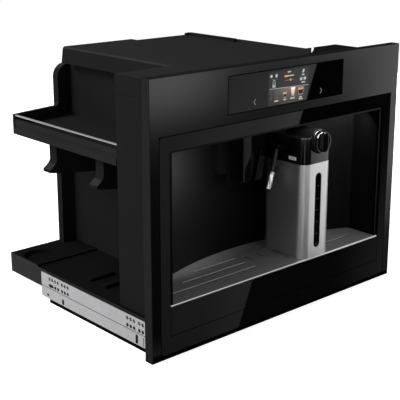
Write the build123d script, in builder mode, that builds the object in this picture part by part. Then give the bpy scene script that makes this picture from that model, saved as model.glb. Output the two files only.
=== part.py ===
from build123d import *
import os
from math import cos, radians, sin, sqrt

# A built-in fully automatic coffee machine for a 600 mm cabinet column.  A black front
# panel with a dark glass display and a lit niche; behind it a narrower machine body with an
# open bay on its left, all of it on telescopic rails that stand on the cabinet floor.
#
# Millimetres.  X runs to the right as the user faces the machine, Y runs back into the
# cabinet and Z is up.  The origin is the middle of the footprint, on the cabinet floor.
# Depths in this file are counted back from the panel's front face; y() turns one into Y.

os.makedirs("parts", exist_ok=True)

# ---------------------------------------------------------------- driving dimensions
PANEL_W = 597.0           # front panel width, for a 600 mm column
PANEL_H = 455.0           # front panel height, for a 450 mm niche
PANEL_T = 18.0            # depth of the panel's folded edge
PANEL_SKIN = 2.0          # wall of the panel and of the glossy surround
BODY_HALF = PANEL_W / 2 - 33.5    # half the width of the machine behind the panel
BODY_REAR = 476.0         # rear of the base behind the panel's front face
KNOB_PROUD = 14.0         # the froth knob's grip stands this far in front of the panel

FIT = 0.3                 # gap between pieces that move against each other
SEAM = 0.5                # visible gap between neighbouring fixed panels
SHAFT_FIT = 0.05          # radial clearance of pins in their bores
WALL = 2.5                # plastic housing walls
SHEET = 2.0               # steel sheet

# front panel openings
SURROUND_HALF = PANEL_W / 2 - 18.5    # half width of the glossy surround's opening
SURROUND_LOW = 7.5
SURROUND_HIGH = 364.0
SURROUND_CORNER = 6.0
NICHE_OPEN_HALF = SURROUND_HALF - 20.0    # half width of the hole in the surround
TRAY_LOW = 37.0           # lower edge of the drip tray's front
GRILL_TOP = 88.7          # cups stand at this height
NICHE_OPEN_TOP = 340.0
NICHE_OPEN_CORNER = 3.0
DISPLAY_HALF = 138.5      # half width of the display glass opening
DISPLAY_LOW = 380.0
DISPLAY_HIGH = 441.0
GLASS_T = 4.0
LCD_HALF = 48.0
LCD_LOW = 382.5
LCD_HIGH = 437.5

# niche
NICHE_HALF = NICHE_OPEN_HALF - 7.0    # inner half width of the steel liner
NICHE_SIDE = 66.0         # depth at which the curved back wall begins
NICHE_DEEP = 131.5        # depth of the back wall in the middle
NICHE_TOP = 336.0
NICHE_CORNER = 10.0
LINER_FRONT = 3.0         # the liner's front flange lies this far behind the panel's face

# base and housings
BASE_LOW = 14.0
BASE_TOP = 49.0
BLOCK_TOP = 52.0          # the raised rear block of the base
BLOCK_FRONT = 381.0
HOUSING_LOW = 53.0
LEFT_HOUSING_REAR = 128.0
RIGHT_HOUSING_REAR = 121.0
TOP = 444.5               # top face of the machine body
RIM_LOW = TOP - 30.5      # lower rim of the top covers
MIDDLE_SEAM = TOP - 109.0    # level of the seam across the side housings
BAY_WALL = 127.0          # the bay's inner wall stands this far left of the middle
RIGHT_WALL = 175.0        # outer face of the body's right wall
REAR_FRONT = 453.6        # front and rear faces of the back panel
REAR_BACK = 470.0
REAR_LEFT = 157.0         # the back panel reaches this far left of the middle
REAR_TOP = RIM_LOW - 4.0
REAR_CORNER = 25.0

# top lid
LID_LEFT_TOP = 148.6      # the lid's left wall leans inwards
LID_LEFT_RIM = 152.5
LID_RIGHT = 142.0         # the lid ends at its hinge line
LID_REAR = 445.0
LID_STEP_X = 16.0         # right of this the rear edge steps forward
LID_STEP_REAR = 426.0
LID_BEVEL = 3.0
HINGE_FRONT = 275.0
HINGE_REAR = 421.0
HINGE_HIGH = TOP + 5.5
HINGE_WIDE = 8.0
PIN_R = 1.5

# side bay: shelf, guard rod and hangers
SHELF_LOW = 293.5
SHELF_FLOOR = 309.0
SHELF_BEAD = 321.0        # top of the beam's rounded upper face
SHELF_LIP = 310.9         # a groove runs along the beam between these two levels
SHELF_STEP = 305.5
SHELF_REAR_OUT = 443.6    # the shelf's rear plate runs back from here at its outer end
SHELF_REAR_IN = 464.0     # to here at its inner end, where its front lies flush with the back panel
SHELF_PLATE_T = 5.0
SHELF_FILLET = 8.0        # the plate's top sweeps up to the back panel with this radius
SHELF_PLATE_TOP = 330.5
ROD_Z = 328.5
ROD_R = 1.75
HANGER_DEPTHS = (194.5, 335.0)   # middles of the two hangers
HANGER_WIDE = 22.5
HANGER_ARM = BODY_HALF - 14.5     # outer face of the arm, left of the middle
HANGER_TOE_LOW = 241.3
HANGER_TOE_HIGH = 247.0
HANGER_ROOT_LOW = 226.0

# telescopic rails
RAIL_HALF = BODY_HALF + 14.0      # outer face of the rails
RAIL_TOP = 53.0
RAIL_SEAM = 25.0
RAIL_FRONT = 20.5
RAIL_REAR = 346.7
RAIL_T = 1.6
RAIL_LOW = 6.8            # lower edge of the perforated plate
FOOT_IN = 5.0             # the foot strip stands back this far from the plate's outer face
FOOT_SHORT = 26.0         # and ends this far before the rail's rear end
HOLE_R = 3.3
HOLE_PITCH = 9.0
HOLE_ROWS = (45.5, 33.0)
HOLE_GROUPS = ((319.6, 4), (280.1, 3), (89.1, 3), (57.3, 2))   # rear-most hole and count
TAB_SLOTS = ((274.0, 280.6, 18.6), (60.8, 67.4, 24.0), (44.9, 46.9, 24.0))    # two depths and a top
HOOK = (322.8, 329.0, 11.5, 15.5)      # the catch at the rear: two depths, two heights
MACHINE_TRAVEL = 290.0

# drip tray
TRAY_TRAVEL = 200.0
TRAY_FRONT_T = 12.0
GRILL_T = 2.0
GRILL_OVER = 6.0          # the grill reaches this far under the liner's walls
SLOT_W = 5.0
SLOT_START = 31.5
LONG_SLOTS = ((36.5, NICHE_HALF - 29.0), (62.0, NICHE_HALF - 71.0), (88.0, NICHE_HALF - 121.0))
SHORT_SLOT_X = 15.0
SHORT_SLOT = (58.0, 89.0)

# coffee spout
SPOUT_LEFT = -32.0
SPOUT_RIGHT = 28.0
SPOUT_FRONT = 71.0
SPOUT_RECESS = 80.0       # depth of the dark ground between the two outlets
SPOUT_BACK = 105.0
SPOUT_LOW = 232.0
SPOUT_TRAVEL = 55.0
CARRIAGE_HALF = 37.0
CARRIAGE_LOW = 214.0
CARRIAGE_T = 4.0
GUIDE_HALF = 47.0
GUIDE_LOW = 241.0
GUIDE_CORNER = 14.0
RIB_HALF = 8.0
RIB_DEEP = 9.0

# milk jug
JUG_X = 83.0              # middle of the jug
JUG_HALF = 37.0
JUG_FRONT = 0.6
JUG_REAR = 102.0
JUG_CORNER = 16.5
JUG_LOW = 89.0
JUG_RIM = 263.0
JUG_WALL = 1.6
JUG_FLOOR = 5.5           # the jug stands on a thick base with a finger notch
JUG_TRAVEL = 120.0
LID_HIGH = 310.5
JUG_NOTCH = (49.0, 75.0)   # the finger notch in the base, on the left
NOTCH_HIGH = 3.5
WINDOW_X = (76.0, 92.0)
WINDOW_Z = (106.0, 245.0)
KNOB_Z = 302.0
KNOB_RING_R = 21.0
KNOB_R = 18.0
KNOB_DISC = 3.5           # the knob's collar and face stand this far in front of the panel
KNOB_FACE = 10.0
GRIP_W = 16.0
SHROUD_R = 21.8
SHROUD_REAR = 64.0
NOZZLE_Z = 288.0
NOZZLE_R = 8.0
SPOUT_PIVOT = (41.0, 62.0, 288.0)   # milk spout pivot: X, depth, Z
SPOUT_LEAN = 16.0         # degrees from upright, outwards
ARM_R = 5.0
EARS = (SPOUT_PIVOT[1] - ARM_R - FIT, SPOUT_PIVOT[1] + ARM_R + FIT)   # inner faces of its ears
TIP_TRAVEL = 15.0
BUTTON_DEPTHS = (20.6, 37.0)
BUTTON_Z = (269.4, 275.2)
BUTTON_TRAVEL = 2.0

# water tank, in the closed bay on the right
TANK_X = (RIGHT_WALL + 5.0, BODY_HALF - 4.0)
TANK_DEPTHS = (130.0, 330.0)
TANK_TOP = 300.0
TANK_LIFT = 40.0

# brewing parts inside the body
DECK_Z = 222.0
BREW_X = 46.0
BREW_DEPTHS = (150.0, 240.0)
BREW_LOW = 96.0
CHAMBER_R = 22.0
PISTON_TRAVEL = 30.0
GRINDER_R = 42.0
GRINDER_DEPTH = 330.0
HOPPER_TOP = RIM_LOW - 6.0

FRONT = -(BODY_REAR - KNOB_PROUD) / 2    # Y of the panel's front face
LINER_FLANGE = NICHE_OPEN_HALF - SEAM


# ---------------------------------------------------------------- shared helpers
def y(depth):
    """Row Y of a depth behind the panel's front face."""
    return FRONT + depth


def face_at(depth):
    """A plane seen from the front: X right, Z up.  It extrudes towards the user."""
    return Plane.XZ.offset(-y(depth))


def level(z):
    """A horizontal plane; it extrudes upwards."""
    return Plane.XY.offset(z)


def side_at(x):
    """A plane seen from the right: Y right, Z up.  It extrudes towards +X."""
    return Plane.YZ.offset(x)


def span(a0, a1, b0, b1, radius=0.0, mode=Mode.ADD):
    """A rectangle between two pairs of limits, with rounded corners if asked."""
    with Locations(((a0 + a1) / 2, (b0 + b1) / 2)):
        if radius:
            RectangleRounded(a1 - a0, b1 - b0, radius, mode=mode)
        else:
            Rectangle(a1 - a0, b1 - b0, mode=mode)


def niche_plan(builder, out, front):
    """Plan of the niche, its outline moved out by a distance, closed at a front depth."""
    half = NICHE_HALF + out
    with BuildLine() as outline:
        Line((-half, y(front)), (-half, y(NICHE_SIDE)))
        ThreePointArc((-half, y(NICHE_SIDE)), (0, y(NICHE_DEEP + out)), (half, y(NICHE_SIDE)))
        Line((half, y(NICHE_SIDE)), (half, y(front)))
        Line((half, y(front)), (-half, y(front)))
    make_face(outline.edges())
    fillet(builder.vertices().group_by(Axis.Y)[1], NICHE_CORNER + out)


def finish(builder, name):
    """Label a piece and write it."""
    builder.part.label = name
    export_step(builder.part, f"parts/{name}.step")


# ---------------------------------------------------------------- telescopic rails
# Each side has a perforated outer member on a foot strip, a middle member and an inner
# member screwed to the machine's base.  The three channels nest and slide in each other.
def channel(outer, inner, low, high, front, rear, thickness, open_right):
    """A C channel along Y between two X limits, with its web on the closed side."""
    with BuildPart() as channel_part:
        with BuildSketch(face_at(rear)):
            span(outer, inner, low, high)
            if open_right:
                span(outer + thickness, inner, low + thickness, high - thickness, mode=Mode.SUBTRACT)
            else:
                span(outer, inner - thickness, low + thickness, high - thickness, mode=Mode.SUBTRACT)
        extrude(amount=rear - front)
    return channel_part


LIP_LOW = 9.5
LIP_HIGH = 44.0
FIXED_INNER = RAIL_HALF - RAIL_T           # inner face of the fixed plate
NEST = RAIL_T + FIT                        # each channel sits one wall and a gap inside the last

with BuildPart() as rail_fixed_left:
    with BuildSketch(side_at(-RAIL_HALF)):
        span(y(RAIL_FRONT), y(RAIL_REAR), RAIL_LOW, RAIL_TOP)
    extrude(amount=RAIL_T)
    with BuildSketch(side_at(-RAIL_HALF - 0.4)):
        span(y(RAIL_FRONT), y(RAIL_REAR), RAIL_LOW, RAIL_SEAM)
    extrude(amount=0.4)
    with BuildSketch(face_at(RAIL_REAR)):
        span(-FIXED_INNER, -FIXED_INNER + 4.5, LIP_HIGH, LIP_HIGH + RAIL_T)
        span(-FIXED_INNER, -FIXED_INNER + 9.0, RAIL_LOW, RAIL_LOW + RAIL_T)
    extrude(amount=RAIL_REAR - RAIL_FRONT)
    for rear_most, count in HOLE_GROUPS:
        middle = rear_most - (count - 1) * HOLE_PITCH / 2
        with BuildSketch(side_at(-RAIL_HALF)):
            with Locations((y(middle), sum(HOLE_ROWS) / 2)):
                with GridLocations(HOLE_PITCH, HOLE_ROWS[0] - HOLE_ROWS[1], count, 2):
                    Circle(HOLE_R)
        extrude(amount=RAIL_T, mode=Mode.SUBTRACT)
    # the two rear holes of the lower row run into one slot, and tabs are cut free below
    with BuildSketch(side_at(-RAIL_HALF)):
        with Locations((y(HOLE_GROUPS[0][0] - HOLE_PITCH / 2), HOLE_ROWS[1])):
            SlotCenterToCenter(HOLE_PITCH, 2 * HOLE_R)
    extrude(amount=RAIL_T, mode=Mode.SUBTRACT)
    with BuildSketch(side_at(-RAIL_HALF - 0.4)):
        for near, far, top in TAB_SLOTS:
            span(y(near), y(far), RAIL_LOW + RAIL_T, top)
        span(y(HOOK[0]), y(HOOK[1]), HOOK[2], HOOK[3])
    extrude(amount=RAIL_T + 0.4, mode=Mode.SUBTRACT)
finish(rail_fixed_left, "rail_fixed_left")

with BuildPart() as rail_fixed_right:
    add(rail_fixed_left.part.mirror(Plane.YZ))
finish(rail_fixed_right, "rail_fixed_right")

with BuildPart() as rail_feet:
    with BuildSketch(level(0)):
        span(-RAIL_HALF + FOOT_IN, -BODY_HALF - 1.0, y(RAIL_FRONT), y(RAIL_REAR - FOOT_SHORT))
        span(BODY_HALF + 1.0, RAIL_HALF - FOOT_IN, y(RAIL_FRONT), y(RAIL_REAR - FOOT_SHORT))
    extrude(amount=RAIL_LOW)
finish(rail_feet, "rail_feet")

MIDDLE_OUT = FIXED_INNER - FIT             # outer face of the middle member
MIDDLE_LOW = LIP_LOW + FIT
MIDDLE_HIGH = LIP_HIGH - FIT
rail_middle_left = channel(-MIDDLE_OUT, -MIDDLE_OUT + 8.0, MIDDLE_LOW, MIDDLE_HIGH,
                           RAIL_FRONT, RAIL_REAR, RAIL_T, True)
finish(rail_middle_left, "rail_middle_left")
with BuildPart() as rail_middle_right:
    add(rail_middle_left.part.mirror(Plane.YZ))
finish(rail_middle_right, "rail_middle_right")

rail_inner_left = channel(-(MIDDLE_OUT - NEST), -BODY_HALF, MIDDLE_LOW + NEST, MIDDLE_HIGH - NEST,
                          RAIL_FRONT, RAIL_REAR, RAIL_T, False)
finish(rail_inner_left, "rail_inner_left")
with BuildPart() as rail_inner_right:
    add(rail_inner_left.part.mirror(Plane.YZ))
finish(rail_inner_right, "rail_inner_right")

# ---------------------------------------------------------------- base
# One deep moulding, hollow from below, with a raised block at the rear, a round recess in
# the block and two locating bars in the bay.
RECESS = (-BODY_HALF + 35.0, 425.0)
RECESS_R = 31.0
RECESS_DEEP = 7.0
BAR_X = (-BODY_HALF + 27.0, -BODY_HALF + 85.0)
BAR_DEPTHS = (212.5, 257.0)
BAR_WIDE = 13.0
BAR_HIGH = 6.0
BASE_FRONT = PANEL_T + SHEET
RIB_DEPTHS = (140.0, 260.0)

with BuildPart() as base_tray:
    with BuildSketch(side_at(-BODY_HALF)):
        with BuildLine():
            Polyline((y(BASE_FRONT), BASE_LOW), (y(BODY_REAR), BASE_LOW), (y(BODY_REAR), BLOCK_TOP),
                     (y(BLOCK_FRONT), BLOCK_TOP), (y(BLOCK_FRONT), BASE_TOP),
                     (y(BASE_FRONT), BASE_TOP), close=True)
        make_face()
    extrude(amount=2 * BODY_HALF)
    with BuildSketch(level(BASE_LOW)):
        span(-BODY_HALF + 3.0, BODY_HALF - 3.0, y(BASE_FRONT + 3.0), y(BODY_REAR - 3.0))
        for depth in RIB_DEPTHS:
            span(-BODY_HALF, BODY_HALF, y(depth), y(depth + 3.0), mode=Mode.SUBTRACT)
        span(-1.5, 1.5, y(BASE_FRONT), y(BODY_REAR), mode=Mode.SUBTRACT)
    extrude(amount=BASE_TOP - 3.0 - BASE_LOW, mode=Mode.SUBTRACT)
    with BuildSketch(level(BLOCK_TOP - RECESS_DEEP - 3.0)):
        with Locations((RECESS[0], y(RECESS[1]))):
            Circle(RECESS_R + 3.0)
    extrude(amount=RECESS_DEEP + 3.0)
    with BuildSketch(level(BLOCK_TOP - RECESS_DEEP)):
        with Locations((RECESS[0], y(RECESS[1]))):
            Circle(RECESS_R)
    extrude(amount=RECESS_DEEP, mode=Mode.SUBTRACT)
    with BuildSketch(level(BASE_TOP)):
        for depth in BAR_DEPTHS:
            span(BAR_X[0], BAR_X[1], y(depth - BAR_WIDE / 2), y(depth + BAR_WIDE / 2), radius=6.0)
    extrude(amount=BAR_HIGH)
    chamfer(base_tray.faces().filter_by(Axis.Z).group_by(Axis.Z)[-1].edges(), 1.5)
finish(base_tray, "base_tray")

# ---------------------------------------------------------------- front panel
with BuildPart() as front_panel:
    with BuildSketch(face_at(PANEL_T)):
        span(-PANEL_W / 2, PANEL_W / 2, 0, PANEL_H)
        span(-SURROUND_HALF, SURROUND_HALF, SURROUND_LOW, SURROUND_HIGH,
             radius=SURROUND_CORNER, mode=Mode.SUBTRACT)
        span(-DISPLAY_HALF, DISPLAY_HALF, DISPLAY_LOW, DISPLAY_HIGH, mode=Mode.SUBTRACT)
    extrude(amount=PANEL_T)
    chamfer(front_panel.faces().sort_by(Axis.Y)[0].outer_wire().edges(), 0.6)
    with BuildSketch(face_at(PANEL_T)):
        span(-PANEL_W / 2 + PANEL_SKIN, PANEL_W / 2 - PANEL_SKIN, PANEL_SKIN, PANEL_H - PANEL_SKIN)
        span(-SURROUND_HALF - PANEL_SKIN, SURROUND_HALF + PANEL_SKIN, SURROUND_LOW - PANEL_SKIN,
             SURROUND_HIGH + PANEL_SKIN, mode=Mode.SUBTRACT)
        span(-DISPLAY_HALF - PANEL_SKIN, DISPLAY_HALF + PANEL_SKIN, DISPLAY_LOW - PANEL_SKIN,
             DISPLAY_HIGH + PANEL_SKIN, mode=Mode.SUBTRACT)
    extrude(amount=PANEL_T - PANEL_SKIN, mode=Mode.SUBTRACT)
finish(front_panel, "front_panel")

# The glossy surround lies flush in the panel and frames the niche and the tray's front.
SURROUND_OUT = SURROUND_HALF - SEAM
with BuildPart() as niche_surround:
    with BuildSketch(face_at(PANEL_T)):
        span(-SURROUND_OUT, SURROUND_OUT, SURROUND_LOW + SEAM, SURROUND_HIGH - SEAM,
             radius=SURROUND_CORNER - SEAM)
        span(-NICHE_OPEN_HALF, NICHE_OPEN_HALF, TRAY_LOW, NICHE_OPEN_TOP,
             radius=NICHE_OPEN_CORNER, mode=Mode.SUBTRACT)
    extrude(amount=PANEL_T)
    with BuildSketch(face_at(PANEL_T)):
        span(-SURROUND_OUT + PANEL_SKIN, SURROUND_OUT - PANEL_SKIN,
             SURROUND_LOW + SEAM + PANEL_SKIN, SURROUND_HIGH - SEAM - PANEL_SKIN)
        span(-NICHE_OPEN_HALF - PANEL_SKIN, NICHE_OPEN_HALF + PANEL_SKIN, TRAY_LOW - PANEL_SKIN,
             NICHE_OPEN_TOP + PANEL_SKIN, mode=Mode.SUBTRACT)
    extrude(amount=PANEL_T - GLASS_T, mode=Mode.SUBTRACT)
finish(niche_surround, "niche_surround")

with BuildPart() as display_glass:
    with BuildSketch(face_at(GLASS_T)):
        span(-DISPLAY_HALF + SEAM, DISPLAY_HALF - SEAM, DISPLAY_LOW + SEAM, DISPLAY_HIGH - SEAM)
    extrude(amount=GLASS_T)
finish(display_glass, "display_glass")

with BuildPart() as display_module:
    with BuildSketch(face_at(12.0)):
        span(-LCD_HALF, LCD_HALF, LCD_LOW, LCD_HIGH)
    extrude(amount=12.0 - GLASS_T)
    with BuildSketch(face_at(PANEL_T)):
        span(-DISPLAY_HALF + 4.0, DISPLAY_HALF - 4.0, DISPLAY_LOW + 2.0, DISPLAY_HIGH - 2.0)
    extrude(amount=PANEL_T - 12.0)
finish(display_module, "display_module")

# Steel bulkhead behind the panel: it carries the panel, the liner and the housings.
BULKHEAD_HALF = PANEL_W / 2 - 8.5
TRAY_PASS_HALF = NICHE_HALF + GRILL_OVER + 1.0
BULKHEAD_TOP = RIM_LOW - 2.0
with BuildPart() as bulkhead:
    with BuildSketch(face_at(PANEL_T + SHEET)):
        span(-BULKHEAD_HALF, BULKHEAD_HALF, 4.0, BULKHEAD_TOP)
        span(-TRAY_PASS_HALF, TRAY_PASS_HALF, TRAY_LOW, NICHE_TOP + SHEET + 0.5, mode=Mode.SUBTRACT)
    extrude(amount=SHEET)
finish(bulkhead, "bulkhead")

# ---------------------------------------------------------------- niche
LINER_LOW = GRILL_TOP + FIT
with BuildPart() as niche_liner:
    with BuildSketch(level(LINER_LOW)) as liner_outside:
        niche_plan(liner_outside, SHEET, LINER_FRONT)
    extrude(amount=NICHE_TOP + SHEET - LINER_LOW)
    with BuildSketch(level(LINER_LOW)) as liner_inside:
        niche_plan(liner_inside, 0.0, LINER_FRONT)
    extrude(amount=NICHE_TOP - LINER_LOW, mode=Mode.SUBTRACT)
    with BuildSketch(face_at(LINER_FRONT + SHEET)) as flange:
        span(-LINER_FLANGE, LINER_FLANGE, LINER_LOW, NICHE_OPEN_TOP - SEAM)
        fillet(flange.vertices().group_by(Axis.Y)[-1], NICHE_OPEN_CORNER - SEAM)
        span(-NICHE_HALF, NICHE_HALF, LINER_LOW, NICHE_TOP, mode=Mode.SUBTRACT)
    extrude(amount=SHEET)
    with BuildSketch(level(NICHE_TOP)):
        span(-CARRIAGE_HALF - 1.0, CARRIAGE_HALF + 1.0, y(SPOUT_FRONT - 1.5), y(SPOUT_BACK + 5.0))
    extrude(amount=SHEET, mode=Mode.SUBTRACT)
    with BuildSketch(face_at(NICHE_DEEP)):
        with Locations((JUG_X, NOZZLE_Z)):
            Circle(NOZZLE_R)
    extrude(amount=NICHE_DEEP - SPOUT_BACK, mode=Mode.SUBTRACT)
finish(niche_liner, "niche_liner")

# Rounded hood under the niche's roof, over the milk connection.
HOOD_X = (-8.0, 182.0)
HOOD_FRONT = 18.0
HOOD_SIDE = 36.0
HOOD_LOW = 329.0
with BuildPart() as niche_hood:
    with BuildSketch(level(HOOD_LOW)):
        with BuildLine():
            ThreePointArc((HOOD_X[0], y(HOOD_SIDE)), (sum(HOOD_X) / 2, y(HOOD_FRONT)),
                          (HOOD_X[1], y(HOOD_SIDE)))
            Polyline((HOOD_X[1], y(HOOD_SIDE)), (HOOD_X[1] - 12.0, y(HOOD_SIDE + 18.0)),
                     (HOOD_X[0] + 12.0, y(HOOD_SIDE + 18.0)), (HOOD_X[0], y(HOOD_SIDE)))
        make_face()
    extrude(amount=NICHE_TOP - HOOD_LOW)
    chamfer(niche_hood.faces().sort_by(Axis.Z)[0].edges(), 2.0)
finish(niche_hood, "niche_hood")

# Fixed column on the back wall, with the slot in which the spout's carriage runs.
GUIDE_FRONT = SPOUT_BACK + CARRIAGE_T + FIT
with BuildPart() as spout_guide:
    with BuildSketch(level(GUIDE_LOW)) as guide_plan:
        span(-GUIDE_HALF, GUIDE_HALF, y(GUIDE_FRONT), y(NICHE_DEEP))
        fillet(guide_plan.vertices().group_by(Axis.Y)[0], GUIDE_CORNER)
        span(-RIB_HALF - FIT, RIB_HALF + FIT, y(GUIDE_FRONT), y(GUIDE_FRONT + RIB_DEEP),
             mode=Mode.SUBTRACT)
    extrude(amount=NICHE_TOP - GUIDE_LOW)
    with BuildSketch(level(GUIDE_LOW)) as guide_limit:
        niche_plan(guide_limit, 0.0, LINER_FRONT)
    extrude(amount=NICHE_TOP - GUIDE_LOW, mode=Mode.INTERSECT)
finish(spout_guide, "spout_guide")

# ---------------------------------------------------------------- coffee spout
SPOUT_HIGH = NICHE_TOP + SPOUT_TRAVEL + 2.0
SPOUT_CHAMFER = 2.0
OUTLET_R = 6.5
OUTLET_X = (-20.0, 12.0)
OUTLET_DEPTH = 91.0
LEFT_OUTLET_EDGE = -8.8           # right edge of the tall left outlet
LEFT_OUTLET_TOE = (-24.0, SPOUT_LOW - 2.0)
LEFT_OUTLET_CURVE = 30.0          # its edge turns in below this height over the lower end
RIGHT_OUTLET = ((-4.3, 0.7), (26.0, 0.7), (26.0, 36.0), (24.0, 40.0), (16.0, 42.0), (14.9, 54.0),
                (8.8, 55.0), (6.6, 43.0))    # X and height over the lower end
with BuildPart() as spout_housing:
    with BuildSketch(level(SPOUT_LOW)):
        span(SPOUT_LEFT, SPOUT_RIGHT, y(SPOUT_RECESS), y(SPOUT_BACK))
    extrude(amount=SPOUT_HIGH - SPOUT_LOW)
    with BuildSketch(face_at(SPOUT_RECESS)):
        with BuildLine():
            Polyline(LEFT_OUTLET_TOE, (SPOUT_LEFT, SPOUT_LOW + 1.4), (SPOUT_LEFT, SPOUT_HIGH),
                     (LEFT_OUTLET_EDGE, SPOUT_HIGH), (LEFT_OUTLET_EDGE, SPOUT_LOW + LEFT_OUTLET_CURVE))
            Spline((LEFT_OUTLET_EDGE, SPOUT_LOW + LEFT_OUTLET_CURVE), (LEFT_OUTLET_EDGE - 8.0, SPOUT_LOW + 7.5),
                   LEFT_OUTLET_TOE)
        make_face()
        Polygon(*((x, SPOUT_LOW + height) for x, height in RIGHT_OUTLET), align=None)
    extrude(amount=SPOUT_RECESS - SPOUT_FRONT)
    chamfer(spout_housing.edges().filter_by(Axis.Z).group_by(Axis.Y)[0].sort_by(Axis.X)[0], SPOUT_CHAMFER)
    with BuildSketch(level(SPOUT_LOW)):
        span(SPOUT_LEFT + WALL, SPOUT_RIGHT - WALL, y(SPOUT_RECESS + WALL), y(SPOUT_BACK - WALL))
    extrude(amount=18.0, mode=Mode.SUBTRACT)
    for radius, length, mode in ((OUTLET_R, 22.0, Mode.ADD), (OUTLET_R - WALL, 20.0, Mode.SUBTRACT)):
        with BuildSketch(level(SPOUT_LOW - 4.0)):
            with Locations(*((x, y(OUTLET_DEPTH)) for x in OUTLET_X)):
                Circle(radius)
        extrude(amount=length, mode=mode)
finish(spout_housing, "spout_housing")

with BuildPart() as spout_carriage:
    with BuildSketch(face_at(SPOUT_BACK + CARRIAGE_T)):
        span(-CARRIAGE_HALF, CARRIAGE_HALF, CARRIAGE_LOW, SPOUT_HIGH)
    extrude(amount=CARRIAGE_T)
    with BuildSketch(level(GUIDE_LOW + 2.0)):
        span(-RIB_HALF, RIB_HALF, y(SPOUT_BACK + CARRIAGE_T), y(GUIDE_FRONT + RIB_DEEP - FIT))
    extrude(amount=NICHE_TOP - FIT - GUIDE_LOW - 2.0)
finish(spout_carriage, "spout_carriage")

# ---------------------------------------------------------------- drip tray
SLED_LOW = BASE_TOP + FIT
SLED_TOP = SLED_LOW + SHEET
PAN_TOP = GRILL_TOP - GRILL_T - FIT
GROUNDS_HALF = 75.0
GROUNDS_DEPTHS = (136.0, 262.0)
TRIM_LOW = GRILL_TOP - 2.6

with BuildPart() as tray_front:
    with BuildSketch(face_at(TRAY_FRONT_T)):
        span(-NICHE_OPEN_HALF + SEAM, NICHE_OPEN_HALF - SEAM, TRAY_LOW + SEAM, TRIM_LOW - FIT)
    extrude(amount=TRAY_FRONT_T)
    fillet(tray_front.edges().filter_by(Axis.Y).group_by(Axis.Z)[0], NICHE_OPEN_CORNER - SEAM)
    with BuildSketch(face_at(TRAY_FRONT_T)):
        span(-NICHE_OPEN_HALF + 8.0, NICHE_OPEN_HALF - 8.0, TRAY_LOW + 8.0, TRIM_LOW - 8.0)
    extrude(amount=TRAY_FRONT_T - GLASS_T, mode=Mode.SUBTRACT)
finish(tray_front, "tray_front")

with BuildPart() as tray_pan:
    with BuildSketch(level(SLED_TOP)) as pan_outside:
        niche_plan(pan_outside, SHEET, TRAY_FRONT_T)
    extrude(amount=PAN_TOP - SLED_TOP)
    with BuildSketch(level(SLED_TOP + SHEET)) as pan_inside:
        niche_plan(pan_inside, -SHEET, TRAY_FRONT_T + SHEET)
    extrude(amount=PAN_TOP - SLED_TOP, mode=Mode.SUBTRACT)
    with BuildSketch(level(SLED_LOW)):
        span(-GROUNDS_HALF - 5.0, GROUNDS_HALF + 5.0, y(TRAY_FRONT_T), y(GROUNDS_DEPTHS[1] + 4.0),
             radius=4.0)
    extrude(amount=SHEET)
finish(tray_pan, "tray_pan")

with BuildPart() as grounds_container:
    with BuildSketch(level(SLED_TOP)):
        span(-GROUNDS_HALF, GROUNDS_HALF, y(GROUNDS_DEPTHS[0]), y(GROUNDS_DEPTHS[1]), radius=10.0)
    extrude(amount=PAN_TOP - SLED_TOP)
    with BuildSketch(level(SLED_TOP + SHEET)):
        span(-GROUNDS_HALF + SHEET, GROUNDS_HALF - SHEET, y(GROUNDS_DEPTHS[0] + SHEET),
             y(GROUNDS_DEPTHS[1] - SHEET), radius=8.0)
    extrude(amount=PAN_TOP - SLED_TOP, mode=Mode.SUBTRACT)
finish(grounds_container, "grounds_container")

GRILL_FRONT = 3.0
with BuildPart() as grill:
    with BuildSketch(level(GRILL_TOP - GRILL_T)) as grill_outline:
        niche_plan(grill_outline, GRILL_OVER, GRILL_FRONT)
        for depth, end in LONG_SLOTS:
            middle = (SLOT_START + end) / 2
            with Locations((-middle, y(depth)), (middle, y(depth))):
                SlotOverall(end - SLOT_START, SLOT_W, mode=Mode.SUBTRACT)
        with Locations((-SHORT_SLOT_X, y(sum(SHORT_SLOT) / 2)), (SHORT_SLOT_X, y(sum(SHORT_SLOT) / 2))):
            SlotOverall(SHORT_SLOT[1] - SHORT_SLOT[0], SLOT_W, rotation=90, mode=Mode.SUBTRACT)
    extrude(amount=GRILL_T)
finish(grill, "grill")

with BuildPart() as grill_trim:
    with BuildSketch(side_at(-NICHE_HALF - GRILL_OVER)):
        with BuildLine():
            Polyline((y(0.4), TRIM_LOW), (y(GRILL_FRONT), TRIM_LOW), (y(GRILL_FRONT), GRILL_TOP),
                     (y(1.4), GRILL_TOP), (y(0.4), GRILL_TOP - 1.0), close=True)
        make_face()
    extrude(amount=2 * (NICHE_HALF + GRILL_OVER))
finish(grill_trim, "grill_trim")

# ---------------------------------------------------------------- side housings
def corner_plan(outer, inner, front, rear, wall, sign):
    """L-shaped plan of a housing: a side wall and a rear wall with a rounded corner."""
    with BuildSketch(level(0)) as plan:
        low, high = sorted((sign * outer, sign * inner))
        span(low, high, y(front), y(rear))
        corner = plan.vertices().group_by(Axis.Y)[-1].sort_by(Axis.X)
        fillet(corner[0] if sign < 0 else corner[-1], 3.0)
        low, high = sorted((sign * (outer - wall), sign * inner))
        span(low, high, y(front), y(rear - wall), mode=Mode.SUBTRACT)
    return plan.sketch


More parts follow.
